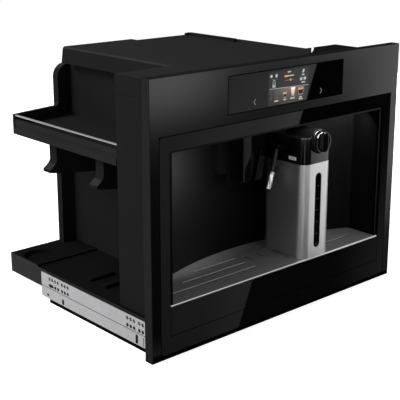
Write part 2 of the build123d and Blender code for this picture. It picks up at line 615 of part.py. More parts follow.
HOUSING_LEVELS = {"": (HOUSING_LOW, MIDDLE_SEAM - SEAM / 2),
                  "_upper": (MIDDLE_SEAM + SEAM / 2, RIM_LOW - SEAM)}
left_plan = corner_plan(BODY_HALF, BAY_WALL, BASE_FRONT, LEFT_HOUSING_REAR, WALL, -1)
right_plan = corner_plan(BODY_HALF, RIGHT_WALL, BASE_FRONT, RIGHT_HOUSING_REAR, WALL, 1)
for suffix, (low, high) in HOUSING_LEVELS.items():
    for side, plan in (("left", left_plan), ("right", right_plan)):
        with BuildPart() as housing:
            extrude(plan.moved(Location((0, 0, low))), amount=high - low)
        finish(housing, f"{side}_housing{suffix}")

# ---------------------------------------------------------------- body walls
WALL_TOP = RIM_LOW - FIT


def body_wall(x, front):
    """An upright wall that stands on the base and on its raised rear block."""
    with BuildPart() as wall:
        with BuildSketch(side_at(x)):
            with BuildLine():
                Polyline((y(front), BASE_TOP), (y(BLOCK_FRONT), BASE_TOP), (y(BLOCK_FRONT), BLOCK_TOP),
                         (y(REAR_FRONT), BLOCK_TOP), (y(REAR_FRONT), WALL_TOP),
                         (y(front), WALL_TOP), close=True)
            make_face()
        extrude(amount=WALL)
    return wall


body_left_wall = body_wall(-BAY_WALL, LEFT_HOUSING_REAR)
finish(body_left_wall, "body_left_wall")
body_right_wall = body_wall(RIGHT_WALL - WALL, RIGHT_HOUSING_REAR)
finish(body_right_wall, "body_right_wall")

INLET = (120.0, 100.0)    # power inlet's place in the back panel: X, Z
INLET_W = 27.5
INLET_H = 20.0
VENT_COUNT = 8
VENT_X = 20.0
VENT_DROP = 80.0          # the vents' middle lies this far below the panel's top
VENT_PITCH = 9.0
with BuildPart() as rear_wall:
    with BuildSketch(face_at(REAR_BACK)) as rear_outline:
        span(-REAR_LEFT, RIGHT_WALL, BLOCK_TOP, REAR_TOP)
        fillet(rear_outline.vertices().group_by(Axis.Y)[-1], REAR_CORNER)
    extrude(amount=REAR_BACK - REAR_FRONT)
    with BuildSketch(face_at(REAR_BACK - WALL)):
        span(-BAY_WALL + WALL, RIGHT_WALL - WALL, BLOCK_TOP + WALL, REAR_TOP - REAR_CORNER)
    extrude(amount=REAR_BACK - WALL - REAR_FRONT, mode=Mode.SUBTRACT)
    with BuildSketch(face_at(REAR_BACK)):
        with Locations((VENT_X, REAR_TOP - VENT_DROP)):
            with GridLocations(0, VENT_PITCH, 1, VENT_COUNT):
                SlotOverall(120.0, 4.0)
        with Locations(INLET):
            Rectangle(INLET_W, INLET_H)
    extrude(amount=WALL, mode=Mode.SUBTRACT)
finish(rear_wall, "rear_wall")

with BuildPart() as power_inlet:
    with BuildSketch(face_at(REAR_BACK)):
        with Locations(INLET):
            Rectangle(INLET_W, INLET_H)
    extrude(amount=WALL)
    with BuildSketch(face_at(REAR_BACK - WALL)):
        with Locations(INLET):
            Rectangle(INLET_W + 8.0, INLET_H + 8.0)
    extrude(amount=12.0)
    with BuildSketch(face_at(REAR_BACK)) as inlet_mouth:
        with Locations(INLET):
            Rectangle(INLET_W - 3.5, INLET_H - 3.5)
        chamfer(inlet_mouth.vertices().group_by(Axis.Y)[-1], 5.0)
        with Locations((INLET[0] - 7.0, INLET[1] - 1.5), (INLET[0] + 7.0, INLET[1] - 1.5),
                       (INLET[0], INLET[1] + 2.5)):
            Rectangle(2.0, 4.0, mode=Mode.SUBTRACT)
    extrude(amount=12.0, mode=Mode.SUBTRACT)
finish(power_inlet, "power_inlet")

# ---------------------------------------------------------------- covers on top
LID_FRONT = PANEL_T + FIT
GAP_FRONT = (34.0, LID_FRONT)          # the curved gap: start at the panel, end at the rear
GAP_REAR = (190.5, RIGHT_HOUSING_REAR)
GAP_BULGE = (116.0, 62.0)
GAP_W = 3.4                            # width of the gap in X
GAP_NOSE = 3.5                         # the right cover's rear corner is cut by this much


def lid_solid(inset, low):
    """The lid's outer form, or its inside when inset; its left wall leans inwards."""
    with BuildPart() as solid:
        with BuildSketch(face_at(LID_REAR - inset)):
            with BuildLine():
                Polyline((-LID_LEFT_RIM + inset, low), (LID_RIGHT - inset, low),
                         (LID_RIGHT - inset, TOP - inset), (-LID_LEFT_TOP + LID_BEVEL + inset, TOP - inset),
                         (-LID_LEFT_TOP + inset, TOP - LID_BEVEL - inset), (-LID_LEFT_RIM + inset, low))
            make_face()
        extrude(amount=LID_REAR - LEFT_HOUSING_REAR)
        with BuildSketch(level(low)):
            span(LID_STEP_X - inset, LID_RIGHT, y(LID_STEP_REAR - inset), y(LID_REAR))
        extrude(amount=TOP - low, mode=Mode.SUBTRACT)
        with BuildSketch(level(low)):
            with BuildLine():
                Line((-BODY_HALF + inset, y(LID_FRONT + inset)), (GAP_FRONT[0] - inset, y(LID_FRONT + inset)))
                ThreePointArc((GAP_FRONT[0] - inset, y(LID_FRONT + inset)),
                              (GAP_BULGE[0] - inset, y(GAP_BULGE[1])),
                              (GAP_REAR[0] - inset, y(GAP_REAR[1])))
                Polyline((GAP_REAR[0] - inset, y(GAP_REAR[1])), (GAP_REAR[0] - inset, y(LEFT_HOUSING_REAR - inset)),
                         (-BODY_HALF + inset, y(LEFT_HOUSING_REAR - inset)),
                         (-BODY_HALF + inset, y(LID_FRONT + inset)))
            make_face()
            span(LID_RIGHT - inset, BODY_HALF, y(0), y(LID_REAR), mode=Mode.SUBTRACT)
        extrude(amount=TOP - inset - low)
    return solid.part


LUG_DEPTHS = ((HINGE_FRONT, HINGE_FRONT + 6.0), (HINGE_REAR - 6.0, HINGE_REAR))
PIN_X = LID_RIGHT + HINGE_WIDE / 2
PIN_Z = HINGE_HIGH - 2.8
LUG_R = 2.5
with BuildPart() as top_cover:
    add(lid_solid(0.0, RIM_LOW))
    add(lid_solid(WALL, RIM_LOW), mode=Mode.SUBTRACT)
    for near, far in LUG_DEPTHS:
        with BuildSketch(face_at(far)):
            span(LID_RIGHT - 6.0, PIN_X, TOP, PIN_Z + LUG_R - 0.5)
            span(LID_RIGHT, PIN_X, TOP, PIN_Z - LUG_R, mode=Mode.SUBTRACT)
            with Locations((PIN_X, PIN_Z)):
                Circle(LUG_R)
                Circle(PIN_R + SHAFT_FIT, mode=Mode.SUBTRACT)
        extrude(amount=far - near)
finish(top_cover, "top_cover")

# Fixed strip right of the lid, with the raised hinge bar.
with BuildPart() as hinge_strip:
    with BuildSketch(level(RIM_LOW)):
        with BuildLine():
            ThreePointArc((GAP_FRONT[0], y(GAP_FRONT[1])), (GAP_BULGE[0], y(GAP_BULGE[1])),
                          (GAP_REAR[0], y(GAP_REAR[1])))
            Polyline((GAP_REAR[0], y(GAP_REAR[1])), (RIGHT_WALL, y(GAP_REAR[1])),
                     (RIGHT_WALL, y(LID_STEP_REAR)), (GAP_FRONT[0], y(LID_STEP_REAR)),
                     (GAP_FRONT[0], y(GAP_FRONT[1])))
        make_face()
        span(-BODY_HALF, LID_RIGHT + FIT, y(0), y(LID_REAR), mode=Mode.SUBTRACT)
    extrude(amount=TOP - RIM_LOW)
    with BuildSketch(level(RIM_LOW)):
        span(LID_RIGHT + FIT + WALL, RIGHT_WALL - WALL, y(RIGHT_HOUSING_REAR + 3.0), y(LID_STEP_REAR - WALL))
    extrude(amount=TOP - WALL - RIM_LOW, mode=Mode.SUBTRACT)
    with BuildSketch(face_at(LUG_DEPTHS[1][0] - FIT)) as hinge_bar:
        span(LID_RIGHT + 0.5, LID_RIGHT + HINGE_WIDE, TOP, HINGE_HIGH)
        fillet(hinge_bar.vertices().group_by(Axis.Y)[-1], 1.5)
        with Locations((PIN_X, PIN_Z)):
            Circle(PIN_R, mode=Mode.SUBTRACT)
    extrude(amount=LUG_DEPTHS[1][0] - LUG_DEPTHS[0][1] - 2 * FIT)
finish(hinge_strip, "hinge_strip")

with BuildPart() as hinge_pin:
    with BuildSketch(face_at(HINGE_REAR)):
        with Locations((PIN_X, PIN_Z)):
            Circle(PIN_R)
    extrude(amount=HINGE_REAR - HINGE_FRONT)
finish(hinge_pin, "hinge_pin")

RIGHT_COVER_EDGE = BODY_HALF - 3.0
RIGHT_COVER_REAR = 197.0
with BuildPart() as right_top_cover:
    with BuildSketch(level(RIM_LOW)):
        with BuildLine():
            ThreePointArc((GAP_FRONT[0] + GAP_W, y(GAP_FRONT[1])), (GAP_BULGE[0] + GAP_W, y(GAP_BULGE[1])),
                          (GAP_REAR[0] + GAP_W, y(GAP_REAR[1] - GAP_NOSE)))
            Polyline((GAP_REAR[0] + GAP_W, y(GAP_REAR[1] - GAP_NOSE)), (RIGHT_COVER_REAR, y(GAP_REAR[1])),
                     (RIGHT_COVER_EDGE, y(GAP_REAR[1])), (RIGHT_COVER_EDGE, y(GAP_FRONT[1])),
                     (GAP_FRONT[0] + GAP_W, y(GAP_FRONT[1])))
        make_face()
    extrude(amount=TOP - RIM_LOW)
    chamfer(right_top_cover.faces().sort_by(Axis.Z)[-1].edges().filter_by(Axis.Y), 3.0)
    with BuildSketch(level(RIM_LOW)):
        span(GAP_REAR[0] + 14.5, RIGHT_COVER_EDGE - WALL, y(LID_FRONT + WALL), y(GAP_REAR[1] - WALL))
    extrude(amount=TOP - WALL - RIM_LOW, mode=Mode.SUBTRACT)
finish(right_top_cover, "right_top_cover")

# ---------------------------------------------------------------- side shelf and hangers
# The shelf spans the bay between the housing and its slanting rear plate; a chrome rod
# keeps things from sliding off, and two hangers below it carry looped hoses or a cord.
SHELF_OUT = BODY_HALF
SHELF_IN = BAY_WALL
SHELF_T = 3.0
BEAM_IN = SHELF_OUT - 3.0              # inner face of the beam along the shelf's outer edge
PLATE_IN_X = REAR_LEFT


def rear_line(x_left, shift):
    """Depth of the slanting rear plate's inner face at a distance left of the middle."""
    slope = (SHELF_REAR_IN - SHELF_REAR_OUT) / (SHELF_OUT - PLATE_IN_X)
    return SHELF_REAR_OUT + shift + (SHELF_OUT - x_left) * slope


with BuildPart() as side_shelf:
    with BuildSketch(level(SHELF_FLOOR - SHELF_T)):
        with BuildLine():
            Polyline((-BEAM_IN, y(LEFT_HOUSING_REAR)), (-SHELF_IN, y(LEFT_HOUSING_REAR)),
                     (-SHELF_IN, y(REAR_FRONT)), (-REAR_LEFT, y(REAR_FRONT)),
                     (-PLATE_IN_X, y(rear_line(PLATE_IN_X, -SHELF_PLATE_T / 2))),
                     (-BEAM_IN, y(rear_line(BEAM_IN, -SHELF_PLATE_T / 2))), close=True)
        make_face()
    extrude(amount=SHELF_T)
    with BuildSketch(face_at(SHELF_REAR_OUT - SHELF_PLATE_T / 2)):
        with BuildLine():
            Polyline((-SHELF_OUT, SHELF_LOW), (-BEAM_IN, SHELF_LOW), (-BEAM_IN, SHELF_FLOOR - 1.0),
                     (-BEAM_IN + 6.0, SHELF_FLOOR - 1.0), (-BEAM_IN + 6.0, SHELF_BEAD),
                     (-SHELF_OUT + 1.0, SHELF_BEAD), (-SHELF_OUT + 1.0, SHELF_LIP), (-SHELF_OUT + 2.0, SHELF_LIP - 0.8),
                     (-SHELF_OUT + 2.0, SHELF_STEP + 0.8), (-SHELF_OUT, SHELF_STEP), close=True)
        make_face()
    extrude(amount=SHELF_REAR_OUT - SHELF_PLATE_T / 2 - LEFT_HOUSING_REAR)
    with BuildSketch(level(SHELF_LOW)):
        with BuildLine():
            Polyline((-SHELF_OUT, y(SHELF_REAR_OUT - SHELF_PLATE_T)), (-SHELF_OUT, y(SHELF_REAR_OUT)),
                     (-PLATE_IN_X, y(SHELF_REAR_IN)), (-PLATE_IN_X, y(REAR_FRONT)), close=True)
        make_face()
    extrude(amount=SHELF_PLATE_TOP - SHELF_LOW)
    with BuildSketch(face_at(SHELF_REAR_IN - 2.0)):
        span(-PLATE_IN_X - SHELF_FILLET, -PLATE_IN_X, SHELF_PLATE_TOP - 1.0, SHELF_PLATE_TOP + SHELF_FILLET)
        with Locations((-PLATE_IN_X - SHELF_FILLET, SHELF_PLATE_TOP + SHELF_FILLET)):
            Circle(SHELF_FILLET, mode=Mode.SUBTRACT)
    extrude(amount=SHELF_REAR_IN - 2.0 - REAR_FRONT)
finish(side_shelf, "side_shelf")

HANGER_TOP = SHELF_FLOOR - SHELF_T
HANGER_WALL = 3.0
HANGER_BELLY_X = BODY_HALF - 48.0


def hanger_outline():
    """Front view of a hanger: an arm with a hooked toe at the machine's left side."""
    with BuildLine() as outline:
        Line((-SHELF_IN, HANGER_TOP), (-HANGER_ARM, HANGER_TOP))
        Line((-HANGER_ARM, HANGER_TOP), (-HANGER_ARM, HANGER_TOE_HIGH + 17.0))
        Spline((-HANGER_ARM, HANGER_TOE_HIGH + 17.0), (-HANGER_ARM - 6.0, HANGER_TOE_HIGH + 6.5),
               (-SHELF_OUT, HANGER_TOE_HIGH), tangents=((0, -1), (-1, -0.5)))
        Line((-SHELF_OUT, HANGER_TOE_HIGH), (-SHELF_OUT, HANGER_TOE_LOW))
        ThreePointArc((-SHELF_OUT, HANGER_TOE_LOW), (-HANGER_BELLY_X, HANGER_TOE_LOW - 7.0),
                      (-SHELF_IN, HANGER_ROOT_LOW))
        Line((-SHELF_IN, HANGER_ROOT_LOW), (-SHELF_IN, HANGER_TOP))
    make_face(outline.edges())


with BuildPart() as shelf_hangers:
    for depth in HANGER_DEPTHS:
        with BuildSketch(face_at(depth + HANGER_WIDE / 2)):
            hanger_outline()
        extrude(amount=HANGER_WIDE)
        with BuildSketch(face_at(depth + HANGER_WIDE / 2)):
            Polygon((-SHELF_IN - HANGER_WALL, HANGER_TOP - HANGER_WALL),
                    (-HANGER_ARM + HANGER_WALL, HANGER_TOP - HANGER_WALL),
                    (-HANGER_ARM + HANGER_WALL, HANGER_TOE_LOW + HANGER_WALL),
                    (-HANGER_BELLY_X, HANGER_TOE_LOW - 7.0 + HANGER_WALL),
                    (-SHELF_IN - HANGER_WALL, HANGER_ROOT_LOW + 2 * HANGER_WALL))
        extrude(amount=HANGER_WIDE - HANGER_WALL, mode=Mode.SUBTRACT)
finish(shelf_hangers, "shelf_hangers")

ROD_X = -SHELF_OUT + 3.0
ROD_REAR = rear_line(ROD_R - ROD_X, -SHELF_PLATE_T)
with BuildPart() as guard_rod:
    with BuildSketch(face_at(ROD_REAR)):
        with Locations((ROD_X, ROD_Z)):
            Circle(ROD_R)
    extrude(amount=ROD_REAR - LEFT_HOUSING_REAR)
finish(guard_rod, "guard_rod")

# ---------------------------------------------------------------- milk connection and jug
with BuildPart() as steam_nozzle:
    with BuildSketch(face_at(NICHE_DEEP + 12.0)):
        with Locations((JUG_X, NOZZLE_Z)):
            Circle(NOZZLE_R)
    extrude(amount=NICHE_DEEP + 12.0 - 86.0)
    chamfer(steam_nozzle.faces().sort_by(Axis.Y)[0].edges(), 1.5)
    with BuildSketch(face_at(NICHE_DEEP + 12.0)):
        with Locations((JUG_X, NOZZLE_Z)):
            Circle(2.5)
    extrude(amount=60.0, mode=Mode.SUBTRACT)
finish(steam_nozzle, "steam_nozzle")


def jug_outline(inset):
    """Plan of the jug: a rounded rectangle."""
    span(JUG_X - JUG_HALF + inset, JUG_X + JUG_HALF - inset, y(JUG_FRONT + inset), y(JUG_REAR - inset),
         radius=JUG_CORNER - inset)


with BuildPart() as jug_body:
    with BuildSketch(level(JUG_LOW)):
        jug_outline(0.0)
    extrude(amount=JUG_RIM - JUG_LOW)
    with BuildSketch(level(JUG_LOW + JUG_FLOOR)):
        jug_outline(JUG_WALL)
    extrude(amount=JUG_RIM - JUG_LOW, mode=Mode.SUBTRACT)
    with BuildSketch(side_at(JUG_X - JUG_HALF)):
        with BuildLine():
            ThreePointArc((y(JUG_NOTCH[0]), JUG_LOW), (y(sum(JUG_NOTCH) / 2), JUG_LOW + NOTCH_HIGH),
                          (y(JUG_NOTCH[1]), JUG_LOW))
            Line((y(JUG_NOTCH[1]), JUG_LOW), (y(JUG_NOTCH[0]), JUG_LOW))
        make_face()
    extrude(amount=6.0, mode=Mode.SUBTRACT)
    with BuildSketch(face_at(JUG_FRONT + JUG_WALL)):
        with Locations((sum(WINDOW_X) / 2, sum(WINDOW_Z) / 2)):
            SlotOverall(WINDOW_Z[1] - WINDOW_Z[0], WINDOW_X[1] - WINDOW_X[0], rotation=90)
    extrude(amount=JUG_WALL, mode=Mode.SUBTRACT)
finish(jug_body, "jug_body")

with BuildPart() as jug_window:
    with BuildSketch(face_at(JUG_FRONT + JUG_WALL + 2.0)):
        with Locations((sum(WINDOW_X) / 2, sum(WINDOW_Z) / 2)):
            SlotOverall(WINDOW_Z[1] - WINDOW_Z[0] + 6.0, WINDOW_X[1] - WINDOW_X[0] + 6.0, rotation=90)
    extrude(amount=2.0)
    with BuildSketch(face_at(JUG_FRONT + JUG_WALL)):
        with Locations((sum(WINDOW_X) / 2, sum(WINDOW_Z) / 2)):
            SlotOverall(WINDOW_Z[1] - WINDOW_Z[0], WINDOW_X[1] - WINDOW_X[0], rotation=90)
    extrude(amount=0.6)
finish(jug_window, "jug_window")

BUTTON_IN = 6.0           # depth of the release buttons' pockets in the lid
SPINDLE_R = 5.0
SPINDLE_REAR = 16.0
KNOB_SEAT = JUG_FRONT + 1.2
PLUG_DEEP = 5.0           # the lid's plug reaches this far into the jug
EAR_T = 3.0               # the two ears that carry the milk spout
EAR_R = 5.5
TRUNNION_R = 3.0
RECESS_X = JUG_X - JUG_HALF + 10.0
RECESS_NEAR = 25.4
PICKUP_LOW = JUG_LOW + 10.0           # lower end of the tube that draws the milk up
PICKUP_DEPTH = 60.0
with BuildPart() as jug_lid:
    with BuildSketch(level(JUG_RIM)):
        jug_outline(0.0)
    extrude(amount=LID_HIGH - JUG_RIM)
    fillet(jug_lid.faces().sort_by(Axis.Z)[-1].edges(), 1.5)
    with BuildSketch(face_at(SHROUD_REAR)):
        with Locations((JUG_X, KNOB_Z)):
            Circle(SHROUD_R)
    extrude(amount=SHROUD_REAR - KNOB_SEAT)
    with BuildSketch(face_at(KNOB_SEAT)):
        with Locations((JUG_X, KNOB_Z)):
            Circle(KNOB_RING_R + FIT)
    extrude(amount=KNOB_SEAT - JUG_FRONT, mode=Mode.SUBTRACT)
    with BuildSketch(level(JUG_RIM - PLUG_DEEP)):
        jug_outline(JUG_WALL + 0.2)
    extrude(amount=PLUG_DEEP)
    with BuildSketch(face_at(JUG_REAR)):
        with Locations((JUG_X, NOZZLE_Z)):
            Circle(NOZZLE_R + 0.4)
    extrude(amount=20.0, mode=Mode.SUBTRACT)
    with BuildSketch(face_at(SPINDLE_REAR + FIT)):
        with Locations((JUG_X, KNOB_Z)):
            Circle(SPINDLE_R + SHAFT_FIT)
    extrude(amount=SPINDLE_REAR + FIT, mode=Mode.SUBTRACT)
    for sign in (-1, 1):
        low, high = sorted((JUG_X + sign * JUG_HALF, JUG_X + sign * (JUG_HALF - BUTTON_IN)))
        with BuildSketch(side_at(low)):
            span(y(BUTTON_DEPTHS[0] - FIT), y(BUTTON_DEPTHS[1] + FIT), BUTTON_Z[0] - FIT, BUTTON_Z[1] + FIT)
        extrude(amount=high - low, mode=Mode.SUBTRACT)
    # recess on the left, with two ears that carry the milk spout's trunnions
    with BuildSketch(side_at(JUG_X - JUG_HALF)):
        span(y(RECESS_NEAR), y(EARS[1] + EAR_T + 3.0), SPOUT_PIVOT[2] - 9.0, SPOUT_PIVOT[2] + 10.0, radius=3.0)
    extrude(amount=RECESS_X - JUG_X + JUG_HALF, mode=Mode.SUBTRACT)
    for near, far in ((EARS[0] - EAR_T, EARS[0]), (EARS[1], EARS[1] + EAR_T)):
        with BuildSketch(face_at(far)):
            span(SPOUT_PIVOT[0], RECESS_X, SPOUT_PIVOT[2] - EAR_R, SPOUT_PIVOT[2] + EAR_R)
            with Locations((SPOUT_PIVOT[0], SPOUT_PIVOT[2])):
                Circle(EAR_R)
                Circle(TRUNNION_R + SHAFT_FIT, mode=Mode.SUBTRACT)
        extrude(amount=EAR_T)
    for radius, mode in ((3.5, Mode.ADD), (2.2, Mode.SUBTRACT)):
        with BuildSketch(level(PICKUP_LOW)):
            with Locations((JUG_X, y(PICKUP_DEPTH))):
                Circle(radius)
        extrude(amount=JUG_RIM - PLUG_DEEP - PICKUP_LOW, mode=mode)
finish(jug_lid, "jug_lid")

for side, sign in (("left", -1), ("right", 1)):
    low, high = sorted((JUG_X + sign * (JUG_HALF + 1.2), JUG_X + sign * (JUG_HALF - BUTTON_IN + BUTTON_TRAVEL + 0.3)))
    with BuildPart() as lid_button:
        with BuildSketch(side_at(low)):
            span(y(BUTTON_DEPTHS[0]), y(BUTTON_DEPTHS[1]), *BUTTON_Z, radius=1.2)
        extrude(amount=high - low)
    finish(lid_button, f"lid_button_{side}")

with BuildPart() as froth_knob:
    with BuildSketch(face_at(KNOB_SEAT - FIT)):
        with Locations((JUG_X, KNOB_Z)):
            Circle(KNOB_RING_R)
    extrude(amount=KNOB_SEAT - FIT + KNOB_DISC)
    with BuildSketch(face_at(-KNOB_DISC)):
        with Locations((JUG_X, KNOB_Z)):
            Circle(KNOB_R)
    extrude(amount=KNOB_FACE - KNOB_DISC)
    with BuildSketch(face_at(-KNOB_FACE)):
        with Locations((JUG_X, KNOB_Z)):
            SlotOverall(2 * KNOB_R - 1.0, GRIP_W, rotation=90)
    extrude(amount=KNOB_PROUD - KNOB_FACE, taper=8)
    with BuildSketch(face_at(SPINDLE_REAR)):
        with Locations((JUG_X, KNOB_Z)):
            Circle(SPINDLE_R)
    extrude(amount=SPINDLE_REAR)
finish(froth_knob, "froth_knob")

RING_W = 0.7              # a bright ring lies round the edge of the knob's face
RING_T = 1.2
with BuildPart() as knob_ring:
    with BuildSketch(face_at(RING_T - KNOB_FACE)):
        with Locations((JUG_X, KNOB_Z)):
            Circle(KNOB_R + RING_W)
            Circle(KNOB_R, mode=Mode.SUBTRACT)
    extrude(amount=RING_T)
finish(knob_ring, "knob_ring")

# The milk spout: an elbow in the lid's recess, a leaning arm and a sleeve that slides on it.
LEAN = radians(SPOUT_LEAN)
ARM_DOWN = (-sin(LEAN), 0.0, -cos(LEAN))
PIVOT = (SPOUT_PIVOT[0], y(SPOUT_PIVOT[1]), SPOUT_PIVOT[2])
NECK_R = 3.4
NECK_START = 32.0
NECK_END = 72.0
COLLAR_T = 3.0
LEVER = (12.0, 3.2)       # reach and width of the collar's lever
LEVER_TURN = 150.0        # it points to the front and a little to the right
MILK_BORE = 1.6
TIP_R = 6.2
TIP_START = 45.0
TIP_END = 76.0


def along_arm(distance):
    """A plane square to the milk spout's arm, at a distance from its pivot."""
    origin = tuple(p + distance * d for p, d in zip(PIVOT, ARM_DOWN))
    return Plane(origin=origin, x_dir=(0, 1, 0), z_dir=ARM_DOWN)


with BuildPart() as milk_spout:
    with BuildSketch(along_arm(0.0)):
        Circle(ARM_R)
    extrude(amount=NECK_START)
    with BuildSketch(along_arm(NECK_START)):
        Circle(NECK_R)
    extrude(amount=NECK_END - NECK_START)
    with BuildSketch(along_arm(NECK_START - COLLAR_T)):
        Circle(ARM_R + 1.4)
        with PolarLocations(LEVER[0] / 2, 1, LEVER_TURN):
            SlotOverall(LEVER[0], LEVER[1])
    extrude(amount=COLLAR_T)
    for radius, reach in ((ARM_R, ARM_R), (TRUNNION_R, ARM_R + FIT + EAR_T)):
        with BuildSketch(face_at(SPOUT_PIVOT[1] + reach)):
            with Locations((SPOUT_PIVOT[0], SPOUT_PIVOT[2])):
                Circle(radius)
        extrude(amount=2 * reach)
    with BuildSketch(along_arm(0.0)):
        Circle(MILK_BORE)
    extrude(amount=NECK_END, mode=Mode.SUBTRACT)
finish(milk_spout, "milk_spout")

with BuildPart() as milk_spout_tip:
    with BuildSketch(along_arm(TIP_START)):
        Circle(TIP_R)
        Circle(NECK_R + SHAFT_FIT, mode=Mode.SUBTRACT)
    extrude(amount=TIP_END - TIP_START)
finish(milk_spout_tip, "milk_spout_tip")

# ---------------------------------------------------------------- water tank
TANK_WALL = 2.5
with BuildPart() as water_tank:
    with BuildSketch(level(BASE_TOP + FIT)):
        span(*TANK_X, y(TANK_DEPTHS[0]), y(TANK_DEPTHS[1]), radius=10.0)
    extrude(amount=TANK_TOP - BASE_TOP - FIT)
    with BuildSketch(level(BASE_TOP + FIT + TANK_WALL)):
        span(TANK_X[0] + TANK_WALL, TANK_X[1] - TANK_WALL, y(TANK_DEPTHS[0] + TANK_WALL),
             y(TANK_DEPTHS[1] - TANK_WALL), radius=7.5)
    extrude(amount=TANK_TOP, mode=Mode.SUBTRACT)
    with BuildSketch(level(BASE_TOP + FIT)):
        with Locations((sum(TANK_X) / 2, y(TANK_DEPTHS[1] - 30.0))):
            Circle(5.0)
    extrude(amount=TANK_WALL, mode=Mode.SUBTRACT)
finish(water_tank, "water_tank")

with BuildPart() as tank_lid:
    with BuildSketch(level(TANK_TOP)):
        span(*TANK_X, y(TANK_DEPTHS[0]), y(TANK_DEPTHS[1]), radius=10.0)
    extrude(amount=4.0)
    with BuildSketch(level(TANK_TOP + 4.0)):
        with Locations((sum(TANK_X) / 2, y(sum(TANK_DEPTHS) / 2))):
            SlotOverall(90.0, 12.0, rotation=90)
            SlotOverall(70.0, 5.0, rotation=90, mode=Mode.SUBTRACT)
    extrude(amount=12.0)
finish(tank_lid, "tank_lid")

# ---------------------------------------------------------------- brewing parts
# Beans fall from the hopper through the grinder into the brewing chamber, where a piston
# presses the grounds; boiler and pump stand on the base beside it, the board hangs on the wall.
BODY_INNER_LEFT = -BAY_WALL + WALL
BODY_INNER_RIGHT = RIGHT_WALL - WALL
BREW_MIDDLE = sum(BREW_DEPTHS) / 2
with BuildPart() as inner_deck:
    with BuildSketch(level(DECK_Z)):
        span(BODY_INNER_LEFT, BODY_INNER_RIGHT, y(NICHE_DEEP + 12.0), y(REAR_FRONT))
        with Locations((0, y(BREW_MIDDLE))):
            Circle(CHAMBER_R + 1.0, mode=Mode.SUBTRACT)
    extrude(amount=SHEET)
finish(inner_deck, "inner_deck")

BREW_RIBS = 3
BREW_RIM = 8.0
RIB_PITCH = (DECK_Z - BREW_LOW - BREW_RIM) / BREW_RIBS
with BuildPart() as brew_unit:
    with BuildSketch(level(BREW_LOW)):
        span(-BREW_X, BREW_X, y(BREW_DEPTHS[0]), y(BREW_DEPTHS[1]), radius=BREW_RIM)
        with Locations((0, y(BREW_MIDDLE))):
            Circle(CHAMBER_R, mode=Mode.SUBTRACT)
    extrude(amount=DECK_Z - BREW_LOW)
    with BuildSketch(face_at(BREW_DEPTHS[1])):
        with GridLocations(BREW_X + CHAMBER_R, 0, 2, 1):
            with Locations((0, (BREW_LOW + DECK_Z) / 2)):
                with GridLocations(0, RIB_PITCH, 1, BREW_RIBS):
                    Rectangle(BREW_X - CHAMBER_R - 2 * BREW_RIM, RIB_PITCH - BREW_RIM)
    extrude(amount=BREW_DEPTHS[1] - BREW_DEPTHS[0], mode=Mode.SUBTRACT)
finish(brew_unit, "brew_unit")

PISTON_LOW = BREW_LOW + 40.0
PISTON_T = 14.0
PISTON_ROD_R = 7.0
PISTON_ROD = 60.0
with BuildPart() as brew_piston:
    with BuildSketch(level(PISTON_LOW)):
        with Locations((0, y(BREW_MIDDLE))):
            Circle(CHAMBER_R - SHAFT_FIT)
    extrude(amount=PISTON_T)
    with BuildSketch(level(PISTON_LOW + PISTON_T)):
        with Locations((0, y(BREW_MIDDLE))):
            Circle(PISTON_ROD_R)
    extrude(amount=PISTON_ROD)
finish(brew_piston, "brew_piston")

GRINDER_LOW = DECK_Z + SHEET
GRINDER_BODY = 46.0       # height of the grinder's body
GRINDER_NECK = 14.0       # and of the neck under the hopper
GRINDER_MOUTH_R = 20.0
CHUTE_W = 28.0
CHUTE_H = 24.0
with BuildPart() as grinder:
    with BuildSketch(level(GRINDER_LOW)):
        with Locations((0, y(GRINDER_DEPTH))):
            Circle(GRINDER_R)
    extrude(amount=GRINDER_BODY)
    with BuildSketch(level(GRINDER_LOW + GRINDER_BODY)):
        with Locations((0, y(GRINDER_DEPTH))):
            Circle(GRINDER_R - 8.0)
    extrude(amount=GRINDER_NECK)
    with BuildSketch(level(GRINDER_LOW + 10.0)):
        span(-CHUTE_W / 2, CHUTE_W / 2, y(BREW_MIDDLE + CHAMBER_R + 8.0), y(GRINDER_DEPTH))
    extrude(amount=CHUTE_H)
    with BuildSketch(level(GRINDER_LOW + GRINDER_BODY - 6.0)):
        with Locations((0, y(GRINDER_DEPTH))):
            Circle(GRINDER_MOUTH_R)
    extrude(amount=GRINDER_NECK + 6.0, mode=Mode.SUBTRACT)
finish(grinder, "grinder")

HOPPER_LOW = GRINDER_LOW + GRINDER_BODY + GRINDER_NECK
HOPPER_FUNNEL = 60.0      # height of the sloping part
HOPPER_FOOT = (60.0, 60.0)
HOPPER_MOUTH = (200.0, 180.0)


def hopper_form(inset):
    """The hopper's outer form, or its hollow when inset: a funnel under an open box."""
    low = HOPPER_LOW + inset
    with BuildPart() as form:
        for size, z in ((HOPPER_FOOT, low), (HOPPER_MOUTH, HOPPER_LOW + HOPPER_FUNNEL + inset / 2)):
            with BuildSketch(level(z)):
                with Locations((0, y(GRINDER_DEPTH))):
                    Rectangle(size[0] - 2 * inset, size[1] - 2 * inset)
        loft(ruled=True)
        extrude(form.faces().sort_by(Axis.Z)[-1], amount=HOPPER_TOP - HOPPER_LOW - HOPPER_FUNNEL)
    return form.part


with BuildPart() as bean_hopper:
    add(hopper_form(0.0))
    add(hopper_form(WALL), mode=Mode.SUBTRACT)
    with BuildSketch(level(HOPPER_LOW)):
        with Locations((0, y(GRINDER_DEPTH))):
            Circle(GRINDER_MOUTH_R - 4.0)
    extrude(amount=WALL, mode=Mode.SUBTRACT)
finish(bean_hopper, "bean_hopper")

